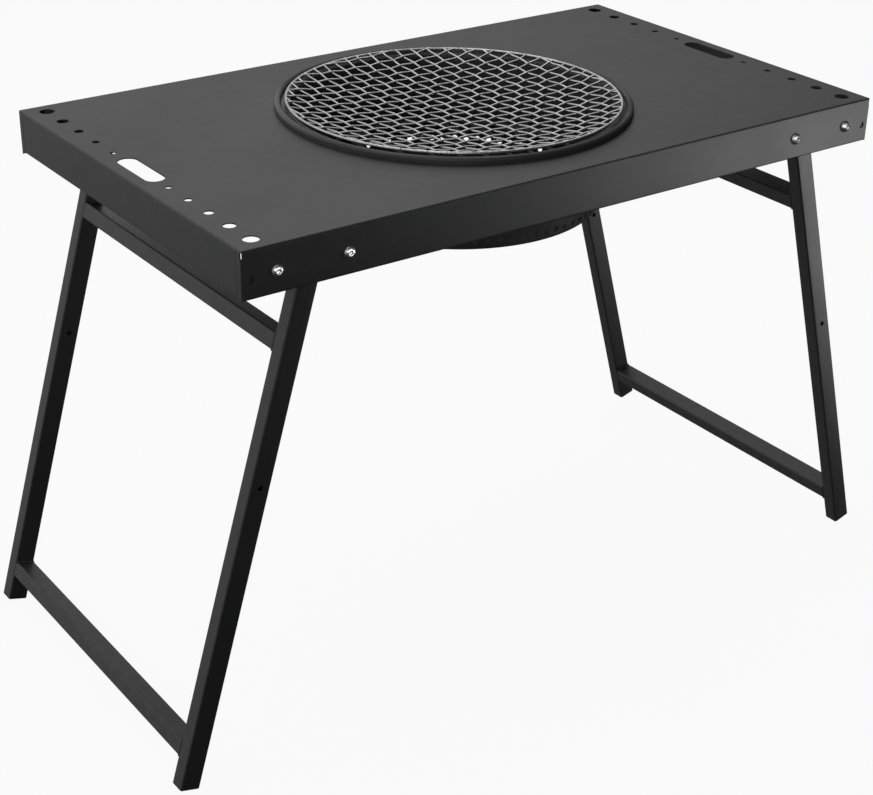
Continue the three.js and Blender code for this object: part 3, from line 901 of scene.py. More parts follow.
# ---- Tray ----
@dataclass
class Tray:
    """The table top: one folded sheet with a round mouth, hand slots and hanging holes.

    Each hanging hole is its distance from the middle of the end and its radius.
    """

    length: float = 1000.0
    width: float = 581.0
    top: float = TRAY_TOP
    sheet: float = 1.5
    long_depth: float = 60.3
    end_depth: float = 57.0
    hem: float = 10.0
    long_mitre: float = 12.0
    end_mitre: float = 2.0
    bend: float = 2.0
    bend_steps: int = 3
    edge: float = 0.25
    border: float = 4.0
    mouth: float = 226.0
    mouth_steps: int = 120
    slot_x: float = 470.0
    slot_width: float = 26.0
    slot_length: float = 95.0
    slot_steps: int = 48
    hole_x: float = 471.0
    holes: tuple[tuple[float, float], ...] = ((72, 4), (120.5, 5), (169, 6.25), (216.5, 8), (264, 10))
    bolts_x: tuple[float, ...] = (358.5, 454.0)
    bolt_z: float = 686.0
    bolt_hole: float = 4.3
    corner_hole: tuple[float, float, float] = (488.0, 682.0, 4.5)
    seam: tuple[float, float] = (279.5, 280.3)
    window_low: float = 709.0
    tab_x: tuple[float, float] = (477.0, 498.2)
    tab_z: tuple[float, float] = (664.0, 707.0)
    slack: float = 0.1

    @property
    def end_foot(self) -> float:
        """How high the foot of the two ends is."""
        return self.top - self.end_depth

    def build(self) -> BMesh:
        """Models the outer skin of the tray.

        Returns:
            The skin, in place.
        """
        bm = bmesh.new()
        middle = shift(0, 0, self.top - self.long_depth / 2)
        size = box_size(self.length, self.width, self.long_depth)
        bmesh.ops.create_cube(bm, size=1.0, matrix=middle @ size)
        bmesh.ops.delete(bm, geom=[widest(bm, (0, 0, -1))], context="FACES_ONLY")
        bevel(bm, [e for e in bm.edges if not e.is_boundary], self.bend, self.bend_steps)
        self._cut_windows(bm)
        for side in (-1, 1):
            self._fit_end(bm, side)
        flats = [widest(bm, way) for way in ((0, 0, 1), (0, -1, 0), (0, 1, 0), (-1, 0, 0), (1, 0, 0))]
        bmesh.ops.inset_individual(bm, faces=flats, thickness=self.border, use_even_offset=True)
        self._turn_hems(bm)
        self._fill_top(bm)
        for end in End:
            self._fill_long_side(bm, end.value)
        above_rear_strip = Vector((0, self.width / 2 - 20, self.top + 5))
        face_outwards(bm, above_rear_strip)
        self._add_tabs(bm)
        return bm

    def _add_tabs(self, bm: BMesh) -> None:
        """Adds the tabs of the ends that stand behind the long sides, behind the corner holes.

        Args:
            bm: the tray.
        """
        (x0, x1), (z0, z1) = self.tab_x, self.tab_z
        size = box_size(x1 - x0, z1 - z0, 1.0)
        for s in (-1, 1):
            for end in End:
                y = end.value * (self.width / 2 - self.sheet - self.slack)
                place = shift(s * (x0 + x1) / 2, y, (z0 + z1) / 2) @ turn(-90 * end.value, "X")
                bmesh.ops.create_grid(bm, x_segments=1, y_segments=1, size=0.5, matrix=place @ size)

    @staticmethod
    def _in_upright_bend(face: BMFace) -> bool:
        """Whether a face looks level, and neither along the table nor across it."""
        return abs(face.normal.z) < NEAR and abs(face.normal.x * face.normal.y) > NEAR

    def _cut_windows(self, bm: BMesh) -> None:
        """Opens the relief window at the top of each upright bend.

        Args:
            bm: the tray.
        """
        high = self.top - self.bend - self.slack
        geom = around([f for f in bm.faces if self._in_upright_bend(f)])
        bmesh.ops.bisect_plane(bm, geom=geom, plane_co=(0, 0, self.window_low), plane_no=(0, 0, 1))
        gone = [f for f in bm.faces if self._in_upright_bend(f)
                and self.window_low < f.calc_center_median().z < high]
        bmesh.ops.delete(bm, geom=gone, context="FACES")

    def _fit_end(self, bm: BMesh, side: int) -> None:
        """Parts an end from the corner tabs of the long sides, and trims its foot.

        Args:
            bm: the tray.
            side: the sign of the end's X.
        """
        inner, outer = self.seam
        cuts = [((0, s * y, 0), (0, 1, 0)) for s in (-1, 1) for y in self.seam]
        cuts.append(((0, 0, self.end_foot), (0, 0, 1)))
        for point, normal in cuts:
            flat = [f for f in bm.faces if f.normal.x * side > PARALLEL]
            if normal[2]:
                flat = [f for f in flat if abs(f.calc_center_median().y) < inner]
            bmesh.ops.bisect_plane(bm, geom=around(flat), plane_co=point, plane_no=normal)
        gone = []
        for face in bm.faces:
            middle = face.calc_center_median()
            in_seam = inner < abs(middle.y) < outer
            below = abs(middle.y) < inner and middle.z < self.end_foot
            if face.normal.x * side > PARALLEL and (in_seam or below):
                gone.append(face)
        bmesh.ops.delete(bm, geom=gone, context="FACES")
        for vert in bm.verts:
            if vert.co.x * side > self.length / 2 - NEAR and abs(abs(vert.co.y) - outer) < NEAR:
                vert.co.z = max(vert.co.z, self.end_foot)

    def _foot_edge(self, bm: BMesh, way: Vector, reach: float, foot: float) -> BMEdge:
        """Finds the longest open edge along the foot of a side.

        Args:
            bm: the tray.
            way: the way that the side looks.
            reach: how far the side is from the middle of the tray.
            foot: how high its foot is.

        Returns:
            The edge.
        """
        found = [
            e for e in bm.edges if e.is_boundary
            and all(abs(v.co.z - foot) < NEAR and abs(v.co.dot(way) - reach) < NEAR for v in e.verts)
        ]
        return max(found, key=lambda e: e.calc_length())

    def _turn_hems(self, bm: BMesh) -> None:
        """Turns the foot of each side inwards, with mitred ends and a round bend.

        Args:
            bm: the tray.
        """
        sides = [((0, s, 0), self.width, self.top - self.long_depth, self.long_mitre) for s in (-1, 1)]
        sides += [((s, 0, 0), self.length, self.end_foot, self.end_mitre) for s in (-1, 1)]
        for normal, size, foot, mitre in sides:
            way = Vector(normal)
            across = Vector((way.y, way.x, 0))
            edge = self._foot_edge(bm, way, size / 2, foot)
            for vert in verts_in(bmesh.ops.extrude_edge_only(bm, edges=[edge])["geom"]):
                vert.co -= way * self.hem + across * math.copysign(mitre, vert.co.dot(across))
            bevel(bm, [edge], self.bend, self.bend_steps)

    def _fill_top(self, bm: BMesh) -> None:
        """Fills the top round its mouth, slots and holes.

        Args:
            bm: the tray.
        """
        rings = [hole_ring(bm, shift(0, 0, self.top), self.mouth, steps=self.mouth_steps)]
        stretch = (self.slot_length - self.slot_width) / 2
        for s in (-1, 1):
            place = shift(s * self.slot_x, 0, self.top)
            rings.append(hole_ring(bm, place, self.slot_width / 2, stretch, self.slot_steps))
            for t in (-1, 1):
                for y, radius in self.holes:
                    rings.append(hole_ring(bm, shift(s * self.hole_x, t * y, self.top), radius))
        refill(bm, widest(bm, (0, 0, 1)), rings)

    def _fill_long_side(self, bm: BMesh, end: int) -> None:
        """Fills a long side round its bolt holes.

        Args:
            bm: the tray.
            end: the sign of the side's Y.
        """
        face = widest(bm, (0, end, 0))
        upright = turn(90, "X")
        x, z, radius = self.corner_hole
        rings = []
        for s in (-1, 1):
            rings.append(hole_ring(bm, shift(s * x, end * self.width / 2, z) @ upright, radius))
            for bolt_x in self.bolts_x:
                place = shift(s * bolt_x, end * self.width / 2, self.bolt_z) @ upright
                rings.append(hole_ring(bm, place, self.bolt_hole, steps=SMALL_HOLE_STEPS))
        refill(bm, face, rings)

    def dress(self) -> None:
        """Builds the tray and hands it over."""
        stands_for = ("tray_top", "front_apron", "rear_apron", "left_apron", "right_apron")
        piece = Piece("folded_tray", Body.TABLE, Slot.BLACK_COAT, TABLE_COAT, stands_for,
                      wall=self.sheet, edge=self.edge)
        piece.finish_mesh(self.build())


# ---- Leg frames ----
@dataclass
class LegFrame:
    """Two splayed tube legs joined by two crossbars, with plastic plugs in their feet."""

    side: Side
    pivot_z: float
    leg_hole: float
    splay: float = 16.07
    foot_x: float = 588.0
    leg_y: float = 259.5
    tube: tuple[float, float] = (28.0, 22.4)
    corner: float = 3.0
    wall: float = 1.5
    edge: float = 0.25
    gap: float = 0.3
    head_facet: int = 12
    bead: float = 1.5
    bead_steps: int = 120
    cap: float = 1.7
    cap_round: float = 1.0
    plug_depth: float = 14.0
    plug_slack: float = 0.8
    ribs: int = 3
    rib_pitch: float = 4.0
    bars: tuple[tuple[str, float], ...] = (("lower", 49.6), ("upper", 593.4))
    pivot_hole: float = 4.3
    lock_hole: float = 3.5

    @property
    def foot_z(self) -> float:
        """How high the middle of a foot is, when its outer edge is on the ground."""
        return self.tube[0] / 2 * math.sin(math.radians(self.splay))

    @property
    def stand(self) -> Matrix:
        """From a frame drawn upright at the origin to where it stands."""
        sign = self.side.value
        return shift(sign * self.foot_x, 0, self.foot_z) @ turn(-sign * self.splay, "Y")

    @property
    def pivot_length(self) -> float:
        """How far up the leg its pivot is."""
        return (self.pivot_z - self.foot_z) / math.cos(math.radians(self.splay))

    def build_leg(self, end: End) -> BMesh:
        """Models one leg's outer skin: a tube with a round head, drilled across.

        Args:
            end: which of the two legs.

        Returns:
            The skin, in place.
        """
        bm = bmesh.new()
        head = self.tube[0] / 2
        foot = self.cap + self.gap
        loop = rounded_loop(bm, self.tube, self.corner, shift(0, 0, foot))
        past_head = self.pivot_length + head + 1
        pull(bm, edges_of(loop), (0, 0, past_head - foot))
        for degrees in range(self.head_facet, 180, self.head_facet):
            way = Vector((math.cos(math.radians(degrees)), 0, math.sin(math.radians(degrees))))
            point = way * head + Vector((0, 0, self.pivot_length))
            geom = list(bm.verts) + list(bm.edges) + list(bm.faces)
            bmesh.ops.bisect_plane(bm, geom=geom, plane_co=point, plane_no=way, clear_outer=True)
        for s in (-1, 1):
            rings = []
            for height, radius in ((self.pivot_length, self.pivot_hole), (self.leg_hole, self.lock_hole)):
                place = shift(0, s * self.tube[1] / 2, height) @ turn(90, "X")
                rings.append(hole_ring(bm, place, radius, steps=SMALL_HOLE_STEPS))
            refill(bm, widest(bm, (0, s, 0)), rings)
        beside_leg = Vector((head + 3, 0, self.pivot_length / 2))
        face_outwards(bm, beside_leg)
        move_all(bm, self.stand @ shift(0, end.value * self.leg_y, 0))
        return bm

    def build_bar(self, height: float) -> BMesh:
        """Models one crossbar with the weld beads at its ends.

        Args:
            height: how far up the legs the bar sits.

        Returns:
            The bar with closed walls, in place.
        """
        bm = bmesh.new()
        length = 2 * self.leg_y - self.tube[1] - 2 * self.gap
        upright = shift(0, length / 2, height) @ turn(90, "X")
        outer = rounded_loop(bm, self.tube, self.corner, upright)
        bore = (self.tube[0] - 2 * self.wall, self.tube[1] - 2 * self.wall)
        inner = rounded_loop(bm, bore, self.corner - self.wall, upright)
        bmesh.ops.bridge_loops(bm, edges=edges_of(outer) + edges_of(inner))
        spun = bmesh.ops.extrude_face_region(bm, geom=list(bm.faces), use_keep_orig=True)["geom"]
        bmesh.ops.translate(bm, verts=verts_in(spun), vec=(0, -length, 0))
        bmesh.ops.recalc_face_normals(bm, faces=list(bm.faces))
        bead_y = length / 2 - 0.4
        for end in End:
            absorb(bm, self._weld_bead(), shift(0, end.value * bead_y, height))
        move_all(bm, self.stand)
        return bm

    def _weld_bead(self) -> bpy.types.Mesh:
        """Models a rippled bead round the end of a bar, in the plane Y = 0.

        Returns:
            The bead, which stays within the bar's depth, so that folded frames clear each other.
        """
        half_x, half_z = (self.tube[0] - 2.8) / 2, (self.tube[1] + 0.5) / 2
        points, shares = [], []
        for i in range(self.bead_steps):
            angle = math.tau * i / self.bead_steps
            flat = max(abs(math.cos(angle)) / half_x, abs(math.sin(angle)) / half_z)
            points.append(Vector((math.cos(angle) / flat, 0, math.sin(angle) / flat)))
            ripple = 0.13 * math.sin(24 * angle) + 0.05 * math.sin(7 * angle + 1.0)
            shares.append(1.0 + ripple)
        return swept([(points, shares)], self.bead, sides=8, cyclic=True)

    def build_plug(self, end: End) -> BMesh:
        """Models one foot plug: a rounded cap with a ribbed stem up the tube.

        Args:
            end: which of the two legs it closes.

        Returns:
            The plug, in place.
        """
        bm = bmesh.new()
        loop = rounded_loop(bm, self.tube, self.corner, shift(0, 0, self.cap))
        bmesh.ops.contextual_create(bm, geom=edges_of(loop))
        spun = bmesh.ops.extrude_face_region(bm, geom=list(bm.faces), use_keep_orig=True)["geom"]
        low = verts_in(spun)
        bmesh.ops.translate(bm, verts=low, vec=(0, 0, -self.cap))
        sole = [e for e in edges_of(low) if all(abs(v.co.z) < NEAR for v in e.verts)]
        bevel(bm, sole, self.cap_round, 3)
        stem_size = [width - 2 * self.wall - 2 * self.plug_slack for width in self.tube]
        stem = rounded_loop(bm, tuple(stem_size), self.corner / 2, shift(0, 0, self.cap - 0.2))
        top = pull(bm, edges_of(stem), (0, 0, self.plug_depth))
        for loop in (top, stem):
            bmesh.ops.contextual_create(bm, geom=[e for e in edges_of(loop) if e.is_boundary])
        for rib in range(self.ribs):
            place = shift(0, 0, self.cap + 3.5 + self.rib_pitch * rib)
            size = box_size(self.tube[0] - 3.6, self.tube[1] - 3.6, 1.2)
            made = bmesh.ops.create_cube(bm, size=1.0, matrix=place @ size)["verts"]
            upright = [e for e in edges_of(made) if abs(e.verts[0].co.z - e.verts[1].co.z) > 1]
            bevel(bm, upright, 1.2, 3)
        bmesh.ops.recalc_face_normals(bm, faces=list(bm.faces))
        move_all(bm, self.stand @ shift(0, end.value * self.leg_y, 0))
        return bm

    def dress(self) -> None:
        """Builds the frame's pieces and hands them over."""
        body = self.side.body
        for end in End:
            stem = f"{self.side.label}_{end.label}"
            leg = Piece(f"{stem}_leg_tube", body, Slot.BLACK_COAT, LEG_COAT, (f"{stem}_leg",),
                        wall=self.wall, edge=self.edge)
            leg.finish_mesh(self.build_leg(end))
            plug = Piece(f"{stem}_foot_cap", body, Slot.FOOT_PLASTIC, FOOT_PLASTIC, (f"{stem}_foot_plug",))
            plug.finish_mesh(self.build_plug(end))
        for name, height in self.bars:
            stem = f"{self.side.label}_{name}"
            bar = Piece(f"{stem}_bar", body, Slot.BLACK_COAT, LEG_COAT, (f"{stem}_crossbar",))
            bar.finish_mesh(self.build_bar(height))


# ---- Pivot corners ----
@dataclass
class PivotCorner:
    """A folded bracket bolted inside the tray's long side, with the pivot of one leg.

    The domes and sockets of the bolts, and the washer, are each a width and a height.
    """

    frame: LegFrame
    end: End
    bracket_top: float
    stop: tuple[float, float]
    height: float = 42.0
    plate: float = 3.0
    fold: float = 4.0
    tip_round: float = 6.0
    edge: float = 0.3
    ends_x: tuple[float, float] = (345.0, 467.0)
    hat_x: tuple[float, float] = (367.5, 445.5)
    hat_y: float = 272.3
    flange_y: float = 285.7
    side_y: float = 290.5
    bolts_x: tuple[tuple[str, float], ...] = (("inner", 358.5), ("outer", 454.0))
    bolt_z: float = 686.0
    bolt: float = 3.95
    hole: float = 4.3
    across: float = 13.0
    nut_height: float = 6.5
    head_height: float = 5.0
    tail: float = 2.0
    thread_depth: float = 0.45
    thread_length: float = 14.0
    point: float = 0.8
    stop_reach: float = 20.0
    dome: tuple[float, float] = (7.8, 4.5)
    socket: tuple[float, float] = (5.0, 2.6)
    washer: tuple[float, float] = (9.0, 1.0)

    @property
    def pivot_x(self) -> float:
        """The pivot's distance from the middle of the table."""
        head = self.frame.pivot_length * math.sin(math.radians(self.frame.splay))
        return self.frame.foot_x - head

    @property
    def mirror(self) -> Matrix:
        """From a corner drawn at +X, +Y to this one."""
        return Matrix.Diagonal((self.frame.side.value, self.end.value, 1.0, 1.0))

    def place(self, bm: BMesh) -> BMesh:
        """Moves a piece drawn at +X, +Y to its own corner, its faces still outwards.

        Args:
            bm: the piece.

        Returns:
            The same piece.
        """
        move_all(bm, self.mirror)
        if self.frame.side.value * self.end.value < 0:
            bmesh.ops.reverse_faces(bm, faces=list(bm.faces))
        return bm

    def build_bracket(self) -> BMesh:
        """Models the hat-shaped bracket with its stop.

        Returns:
            The bracket, in place.
        """
        bm = bmesh.new()
        low = self.bracket_top - self.height
        (e0, e1), (h0, h1) = self.ends_x, self.hat_x
        path = [(e0, self.flange_y), (h0, self.flange_y), (h0, self.hat_y),
                (h1, self.hat_y), (h1, self.flange_y), (e1, self.flange_y)]
        verts = [bm.verts.new((x, y, low)) for x, y in path]
        edges = [bm.edges.new(pair) for pair in zip(verts, verts[1:])]
        pull(bm, edges, (0, 0, self.height))
        bevel(bm, [e for e in bm.edges if not e.is_boundary], self.fold, 4)
        tips = [v for v in bm.verts if v.co.x < e0 + NEAR or v.co.x > e1 - NEAR]
        bevel(bm, tips, self.tip_round, 5, "VERTICES")
        bmesh.ops.recalc_face_normals(bm, faces=list(bm.faces))
        flats = [f for f in bm.faces if abs(f.normal.y) > PARALLEL]
        for face in sorted(flats, key=lambda f: f.calc_center_median().x):
            middle = face.calc_center_median()
            if middle.y > self.flange_y - 1:
                x = min((bolt_x for _, bolt_x in self.bolts_x), key=lambda b: abs(b - middle.x))
                hole = shift(x, self.flange_y, self.bolt_z)
            else:
                hole = shift(self.pivot_x, self.hat_y, self.frame.pivot_z)
            refill(bm, face, [hole_ring(bm, hole @ turn(90, "X"), self.hole, steps=SMALL_HOLE_STEPS)])
        inside_hat = Vector(((h0 + h1) / 2 + 14, self.hat_y - 5, low + 5))
        face_outwards(bm, inside_hat)
        bmesh.ops.solidify(bm, geom=list(bm.faces), thickness=-self.plate)
        face_outwards(bm, inside_hat)
        self._add_stop(bm)
        return self.place(bm)

    def _add_stop(self, bm: BMesh) -> None:
        """Adds the stop that the opened leg leans on.

        Args:
            bm: the bracket, drawn at +X, +Y.
        """
        low, high = self.stop
        sunk = 1.0  # how far the stop reaches into the bracket
        reach = self.stop_reach + sunk
        face = self.frame.tube[0] / 2 + self.frame.gap
        size = box_size(self.plate, reach, high - low)
        made = bmesh.ops.create_cube(bm, size=1.0, matrix=size)["verts"]
        tips = [e for e in edges_of(made) if all(v.co.y < 0 for v in e.verts)
                and abs(e.verts[0].co.x - e.verts[1].co.x) > 1]
        bmesh.ops.translate(bm, verts=made, vec=(face + self.plate / 2, 0, (low + high) / 2))
        lean = Matrix.Rotation(-math.radians(self.frame.splay), 3, "Y")
        bmesh.ops.rotate(bm, verts=made, cent=(0, 0, 0), matrix=lean)
        y = self.hat_y + sunk - reach / 2
        bmesh.ops.translate(bm, verts=made, vec=(self.pivot_x, y, self.frame.pivot_z))
        bevel(bm, tips, self.fold, 4)

    def _along_y(self, bm: BMesh, x: float, y: float, z: float) -> BMesh:
        """Lays a piece drawn up Z along +Y at a point, and places it."""
        move_all(bm, shift(x, y, z) @ turn(-90, "X"))
        return self.place(bm)

    def _hex_rings(self, low: float, high: float, both: bool) -> list[Ring]:
        """Draws a hexagon with its corners chamfered at the top, or at both ends.

        Args:
            low: height of its lower face.
            high: height of its upper face.
            both: whether its lower face is chamfered too.

        Returns:
            Its rings, from the bottom up.
        """
        flat = self.across / 2
        full = hex_at(self.across, flat / math.cos(math.pi / 6))
        chamfer = 0.75
        steps = [(0.0, 0.97), (0.35, 1.05), (0.7, 1.11)]
        slopes = [(lift, hex_at(self.across, flat * share)) for lift, share in steps]
        rings = [(low + lift, outline) for lift, outline in slopes] if both else []
        rings += [(low + (chamfer if both else 0), full), (high - chamfer, full)]
        rings += [(high - lift, outline) for lift, outline in reversed(slopes)]
        return rings

    def build_nut(self, x: float, y: float, z: float) -> BMesh:
        """Models a chamfered nut with the start of its thread.

        Args:
            x: the bolt's place along the table.
            y: where the nut's near face is.
            z: the bolt's height.

        Returns:
            The nut, in place.
        """
        bm = bmesh.new()
        bore = round_at(self.bolt + 0.15)
        countersink = round_at(self.bolt + 0.85)
        rings = self._hex_rings(0, self.nut_height, both=True)
        rings += [(self.nut_height, countersink), (self.nut_height - 0.6, bore)]
        rings += [(0.6, bore), (0.0, countersink)]
        stack(bm, rings, TURNED_STEPS, closed=True)
        return self._along_y(bm, x, y, z)

    def build_pivot_bolt(self) -> BMesh:
        """Models the hex bolt that a leg swings on, threaded at its end.

        Returns:
            The bolt, in place.
        """
        bm = bmesh.new()
        shank, root = round_at(self.bolt), round_at(self.bolt - self.thread_depth)
        head_y = self.frame.leg_y - self.frame.tube[1] / 2 - self.frame.gap
        end = self.hat_y + self.plate + self.frame.gap + self.nut_height + self.tail - head_y
        rings = list(reversed(self._hex_rings(-self.head_height, 0.0, both=False)))
        rings = [(-self.head_height - height, outline) for height, outline in rings]
        rings.append((0.0, shank))
        pitch = Thread.M8.value
        height = end - self.thread_length
        while height < end - pitch:
            rings += [(height, shank), (height + pitch / 2, root)]
            height += pitch
        rings += [(end - self.point, shank), (end, round_at(self.bolt - self.point))]
        stack(bm, rings, TURNED_STEPS, closed=False)
        return self._along_y(bm, self.pivot_x, head_y, self.frame.pivot_z)

    def build_washer(self) -> BMesh:
        """Models the thin washer between the leg and the bracket.

        Returns:
            The washer, in place.
        """
        bm = bmesh.new()
        radius, thick = self.washer
        soft = 0.2  # the rounding of its edges
        outside = [(0.0, radius - soft), (soft, radius), (thick - soft, radius), (thick, radius - soft)]
        inside = [(thick, self.hole + soft), (thick - soft, self.hole), (soft, self.hole),
                  (0.0, self.hole + soft)]
        rings = [(height, round_at(reach)) for height, reach in outside + inside]
        stack(bm, rings, TURNED_STEPS, closed=True)
        y = self.frame.leg_y + self.frame.tube[1] / 2 + self.frame.gap
        return self._along_y(bm, self.pivot_x, y, self.frame.pivot_z)

    def build_dome_bolt(self, x: float) -> BMesh:
        """Models a domed bolt with a hexagon socket, its head outside the tray.

        Args:
            x: the bolt's place along the table.

        Returns:
            The bolt, in place.
        """
        bm = bmesh.new()
        radius, high = self.dome
        across, deep = self.socket
        shank, root, hexagon = round_at(self.bolt), round_at(self.bolt - self.thread_depth), hex_at(across)
        nut_end = self.flange_y - self.frame.gap - self.nut_height
        past_nut = 1.3
        tail = nut_end - past_nut - self.side_y - self.frame.gap
        rings = [(tail, round_at(self.bolt - self.point)), (tail + self.point, shank)]
        for turns in range(6):
            start = tail + 1.2 + turns * Thread.M8.value
            rings += [(start, root), (start + 0.6, shank)]
        lip = 0.35
        rings += [(-0.3, shank), (0.0, shank), (0.0, round_at(radius - lip)), (lip, round_at(radius))]
        for step in range(1, 8):
            angle = math.radians(8 + 9.5 * step)
            rings.append((high * math.sin(angle), round_at(radius * math.cos(angle) ** 0.8)))
        rim = across / 2 / math.cos(math.pi / 6) + lip
        rings += [(high, round_at(rim)), (high - 0.25, hexagon), (high - deep, hexagon)]
        rings.append((high - deep - 0.7, round_at(0.3)))
        stack(bm, rings, TURNED_STEPS, closed=False)
        return self._along_y(bm, x, self.side_y + self.frame.gap, self.bolt_z)

    def dress(self) -> None:
        """Builds the corner's pieces and hands them over."""
        stem = f"{self.frame.side.label}_{self.end.label}"

        def hand_over(name: str, slot: Slot, finish: Finish, node: str, bm: BMesh,
                      edge: float = 0.0) -> None:
            """Finishes one of the corner's pieces."""
            piece = Piece(f"{stem}_{name}", Body.TABLE, slot, finish, (f"{stem}_{node}",), edge=edge)
            piece.finish_mesh(bm)

        hand_over("hat_bracket", Slot.ZINC, FITTING_ZINC, "bracket", self.build_bracket(), self.edge)
        hand_over("hex_pivot", Slot.ZINC, FITTING_ZINC, "pivot_bolt", self.build_pivot_bolt())
        hand_over("nylon_washer", Slot.NYLON, WASHER_NYLON, "pivot_washer", self.build_washer())
        nut_y = self.hat_y + self.plate + self.frame.gap
        nut = self.build_nut(self.pivot_x, nut_y, self.frame.pivot_z)
        hand_over("hex_pivot_nut", Slot.ZINC, FITTING_ZINC, "pivot_nut", nut)
        for name, x in self.bolts_x:
            bolt = self.build_dome_bolt(x)
            hand_over(f"{name}_dome_bolt", Slot.BRIGHT_BOLT, DOME_STEEL, f"{name}_bolt", bolt)
            nut = self.build_nut(x, self.flange_y - self.frame.gap - self.nut_height, self.bolt_z)
            hand_over(f"{name}_hex_nut", Slot.ZINC, FITTING_ZINC, f"{name}_nut", nut)


# ---- Fire pan ----
@dataclass
class FirePan:
    """The drop-in pan: a rolled rim, a seat for the mesh and a ring of vents near the floor.

    Its heights and depths are counted from the top of the tray.
    """

    top: float = TRAY_TOP
    wall: float = 1.5
    rim: float = 242.0
    rim_height: float = 9.3
    rim_round: float = 4.5
    seat: float = 232.6
    seat_height: float = 3.1
    mouth: float = 220.5
    base: float = 202.0
    base_round: float = 5.5
    depth: float = 128.5
    vents: int = 76
    vent_radius: float = 4.0
    vent_depth: float = 117.5
    vent_turn: float = 0.66
    vent_band: float = 5.0
    wall_steps: tuple[float, ...] = (-12.0, -45.0, -80.0, -104.0)
    floor_steps: tuple[float, ...] = (150.0, 80.0, 0.0)

    def _profile(self) -> list[tuple[float, float]]:
        """Draws the inner skin from the rim's foot to the middle of the floor.

        Returns:
            Its points as radius and height above the tray.
        """
        lift = self.rim_height - self.rim_round
        outer, inner = self.rim - self.rim_round, self.seat + self.rim_round
        points = [(self.rim, 0.3), (self.rim, 2.0)]
        points += self._arc(outer, lift, self.rim_round, range(0, 91, 15))
        points += self._arc(inner, lift, self.rim_round, range(105, 181, 15))
        ledge = self.seat_height
        points += [(self.seat, ledge + 0.9), (self.seat - 0.3, ledge + 0.25), (self.seat - 1.0, ledge)]
        points += [(self.mouth + 3.0, ledge), (self.mouth + 1.2, ledge - 0.3),
                   (self.mouth + 0.2, ledge - 1.2)]
        floor = self.base_round - self.depth
        slope = (self.mouth - self.base) / (ledge - floor)
        band = (self.vent_band - self.vent_depth, -self.vent_depth, -self.vent_depth - self.vent_band)
        for height in (*self.wall_steps, *band):
            points.append((self.base + slope * (height - floor), height))
        points += self._arc(self.base - self.base_round, floor, self.base_round, range(-15, -91, -15))
        return points + [(radius, -self.depth) for radius in self.floor_steps]

    @staticmethod
    def _arc(radius: float, height: float, curve: float, angles: Sequence[int]) -> list[tuple[float, float]]:
        """Draws part of a circle in the profile.

        Args:
            radius: distance of its centre from the pan's axis.
            height: height of its centre.
            curve: its own radius.
            angles: where its points are, in degrees from the way outwards.

        Returns:
            Its points as radius and height.
        """
        turns = [math.radians(angle) for angle in angles]
        return [(radius + curve * math.cos(a), height + curve * math.sin(a)) for a in turns]

    def build(self) -> BMesh:
        """Models the pan's inner skin with its vents open.

        Returns:
            The skin, in place.
        """
        bm = bmesh.new()
        start = turn(self.vent_turn, "Z")
        verts = [bm.verts.new(start @ Vector((r, 0, z))) for r, z in self._profile()]
        edges = [bm.edges.new(pair) for pair in zip(verts, verts[1:])]
        spin_round(bm, verts + edges, 2 * self.vents)
        self._open_vents(bm)
        bmesh.ops.translate(bm, verts=list(bm.verts), vec=(0, 0, self.top))
        above_floor = Vector((0, 60, self.top - self.depth + 5))
        face_outwards(bm, above_floor)
        return bm

    def _open_vents(self, bm: BMesh) -> None:
        """Opens a round vent at every second column of the wall.

        Args:
            bm: the pan, with the top of the tray at the origin's height.
        """
        step = 360.0 / self.vents
        middles = []
        for vert in bm.verts:
            if abs(vert.co.z + self.vent_depth) < NEAR:
                share = (math.degrees(math.atan2(vert.co.y, vert.co.x)) - self.vent_turn) / step
                if abs(share - round(share)) < 0.1:
                    middles.append(vert)
        centres = [v.co.copy() for v in middles]
        faces = []
        for vert in middles:
            faces += bmesh.ops.dissolve_faces(bm, faces=list(vert.link_faces), use_verts=False)["region"]
        bmesh.ops.inset_individual(bm, faces=faces, thickness=1.0, use_even_offset=True)
        rims = [list(f.edges) for f in faces]
        bmesh.ops.subdivide_edges(bm, edges=[e for rim in rims for e in rim], cuts=2)
        slope = math.atan2(self.mouth - self.base, self.depth)
        for face in faces:
            middle = face.calc_center_median()
            centre = min(centres, key=lambda c: (c - middle).length_squared)
            out = Vector((centre.x, centre.y, 0)).normalized()
            across = Vector((-out.y, out.x, 0))
            up = Vector((out.x * math.sin(slope), out.y * math.sin(slope), math.cos(slope)))
            for vert in face.verts:
                arm = vert.co - centre
                angle = math.atan2(arm.dot(up), arm.dot(across))
                vert.co = centre + (across * math.cos(angle) + up * math.sin(angle)) * self.vent_radius
        bmesh.ops.delete(bm, geom=faces, context="FACES")

    def dress(self) -> None:
        """Builds the pan and hands it over."""
        piece = Piece("round_fire_pan", Body.FIRE_PAN, Slot.HEAT_BLACK, PAN_ENAMEL, ("fire_pan",),
                      wall=self.wall)
        piece.finish_mesh(self.build())


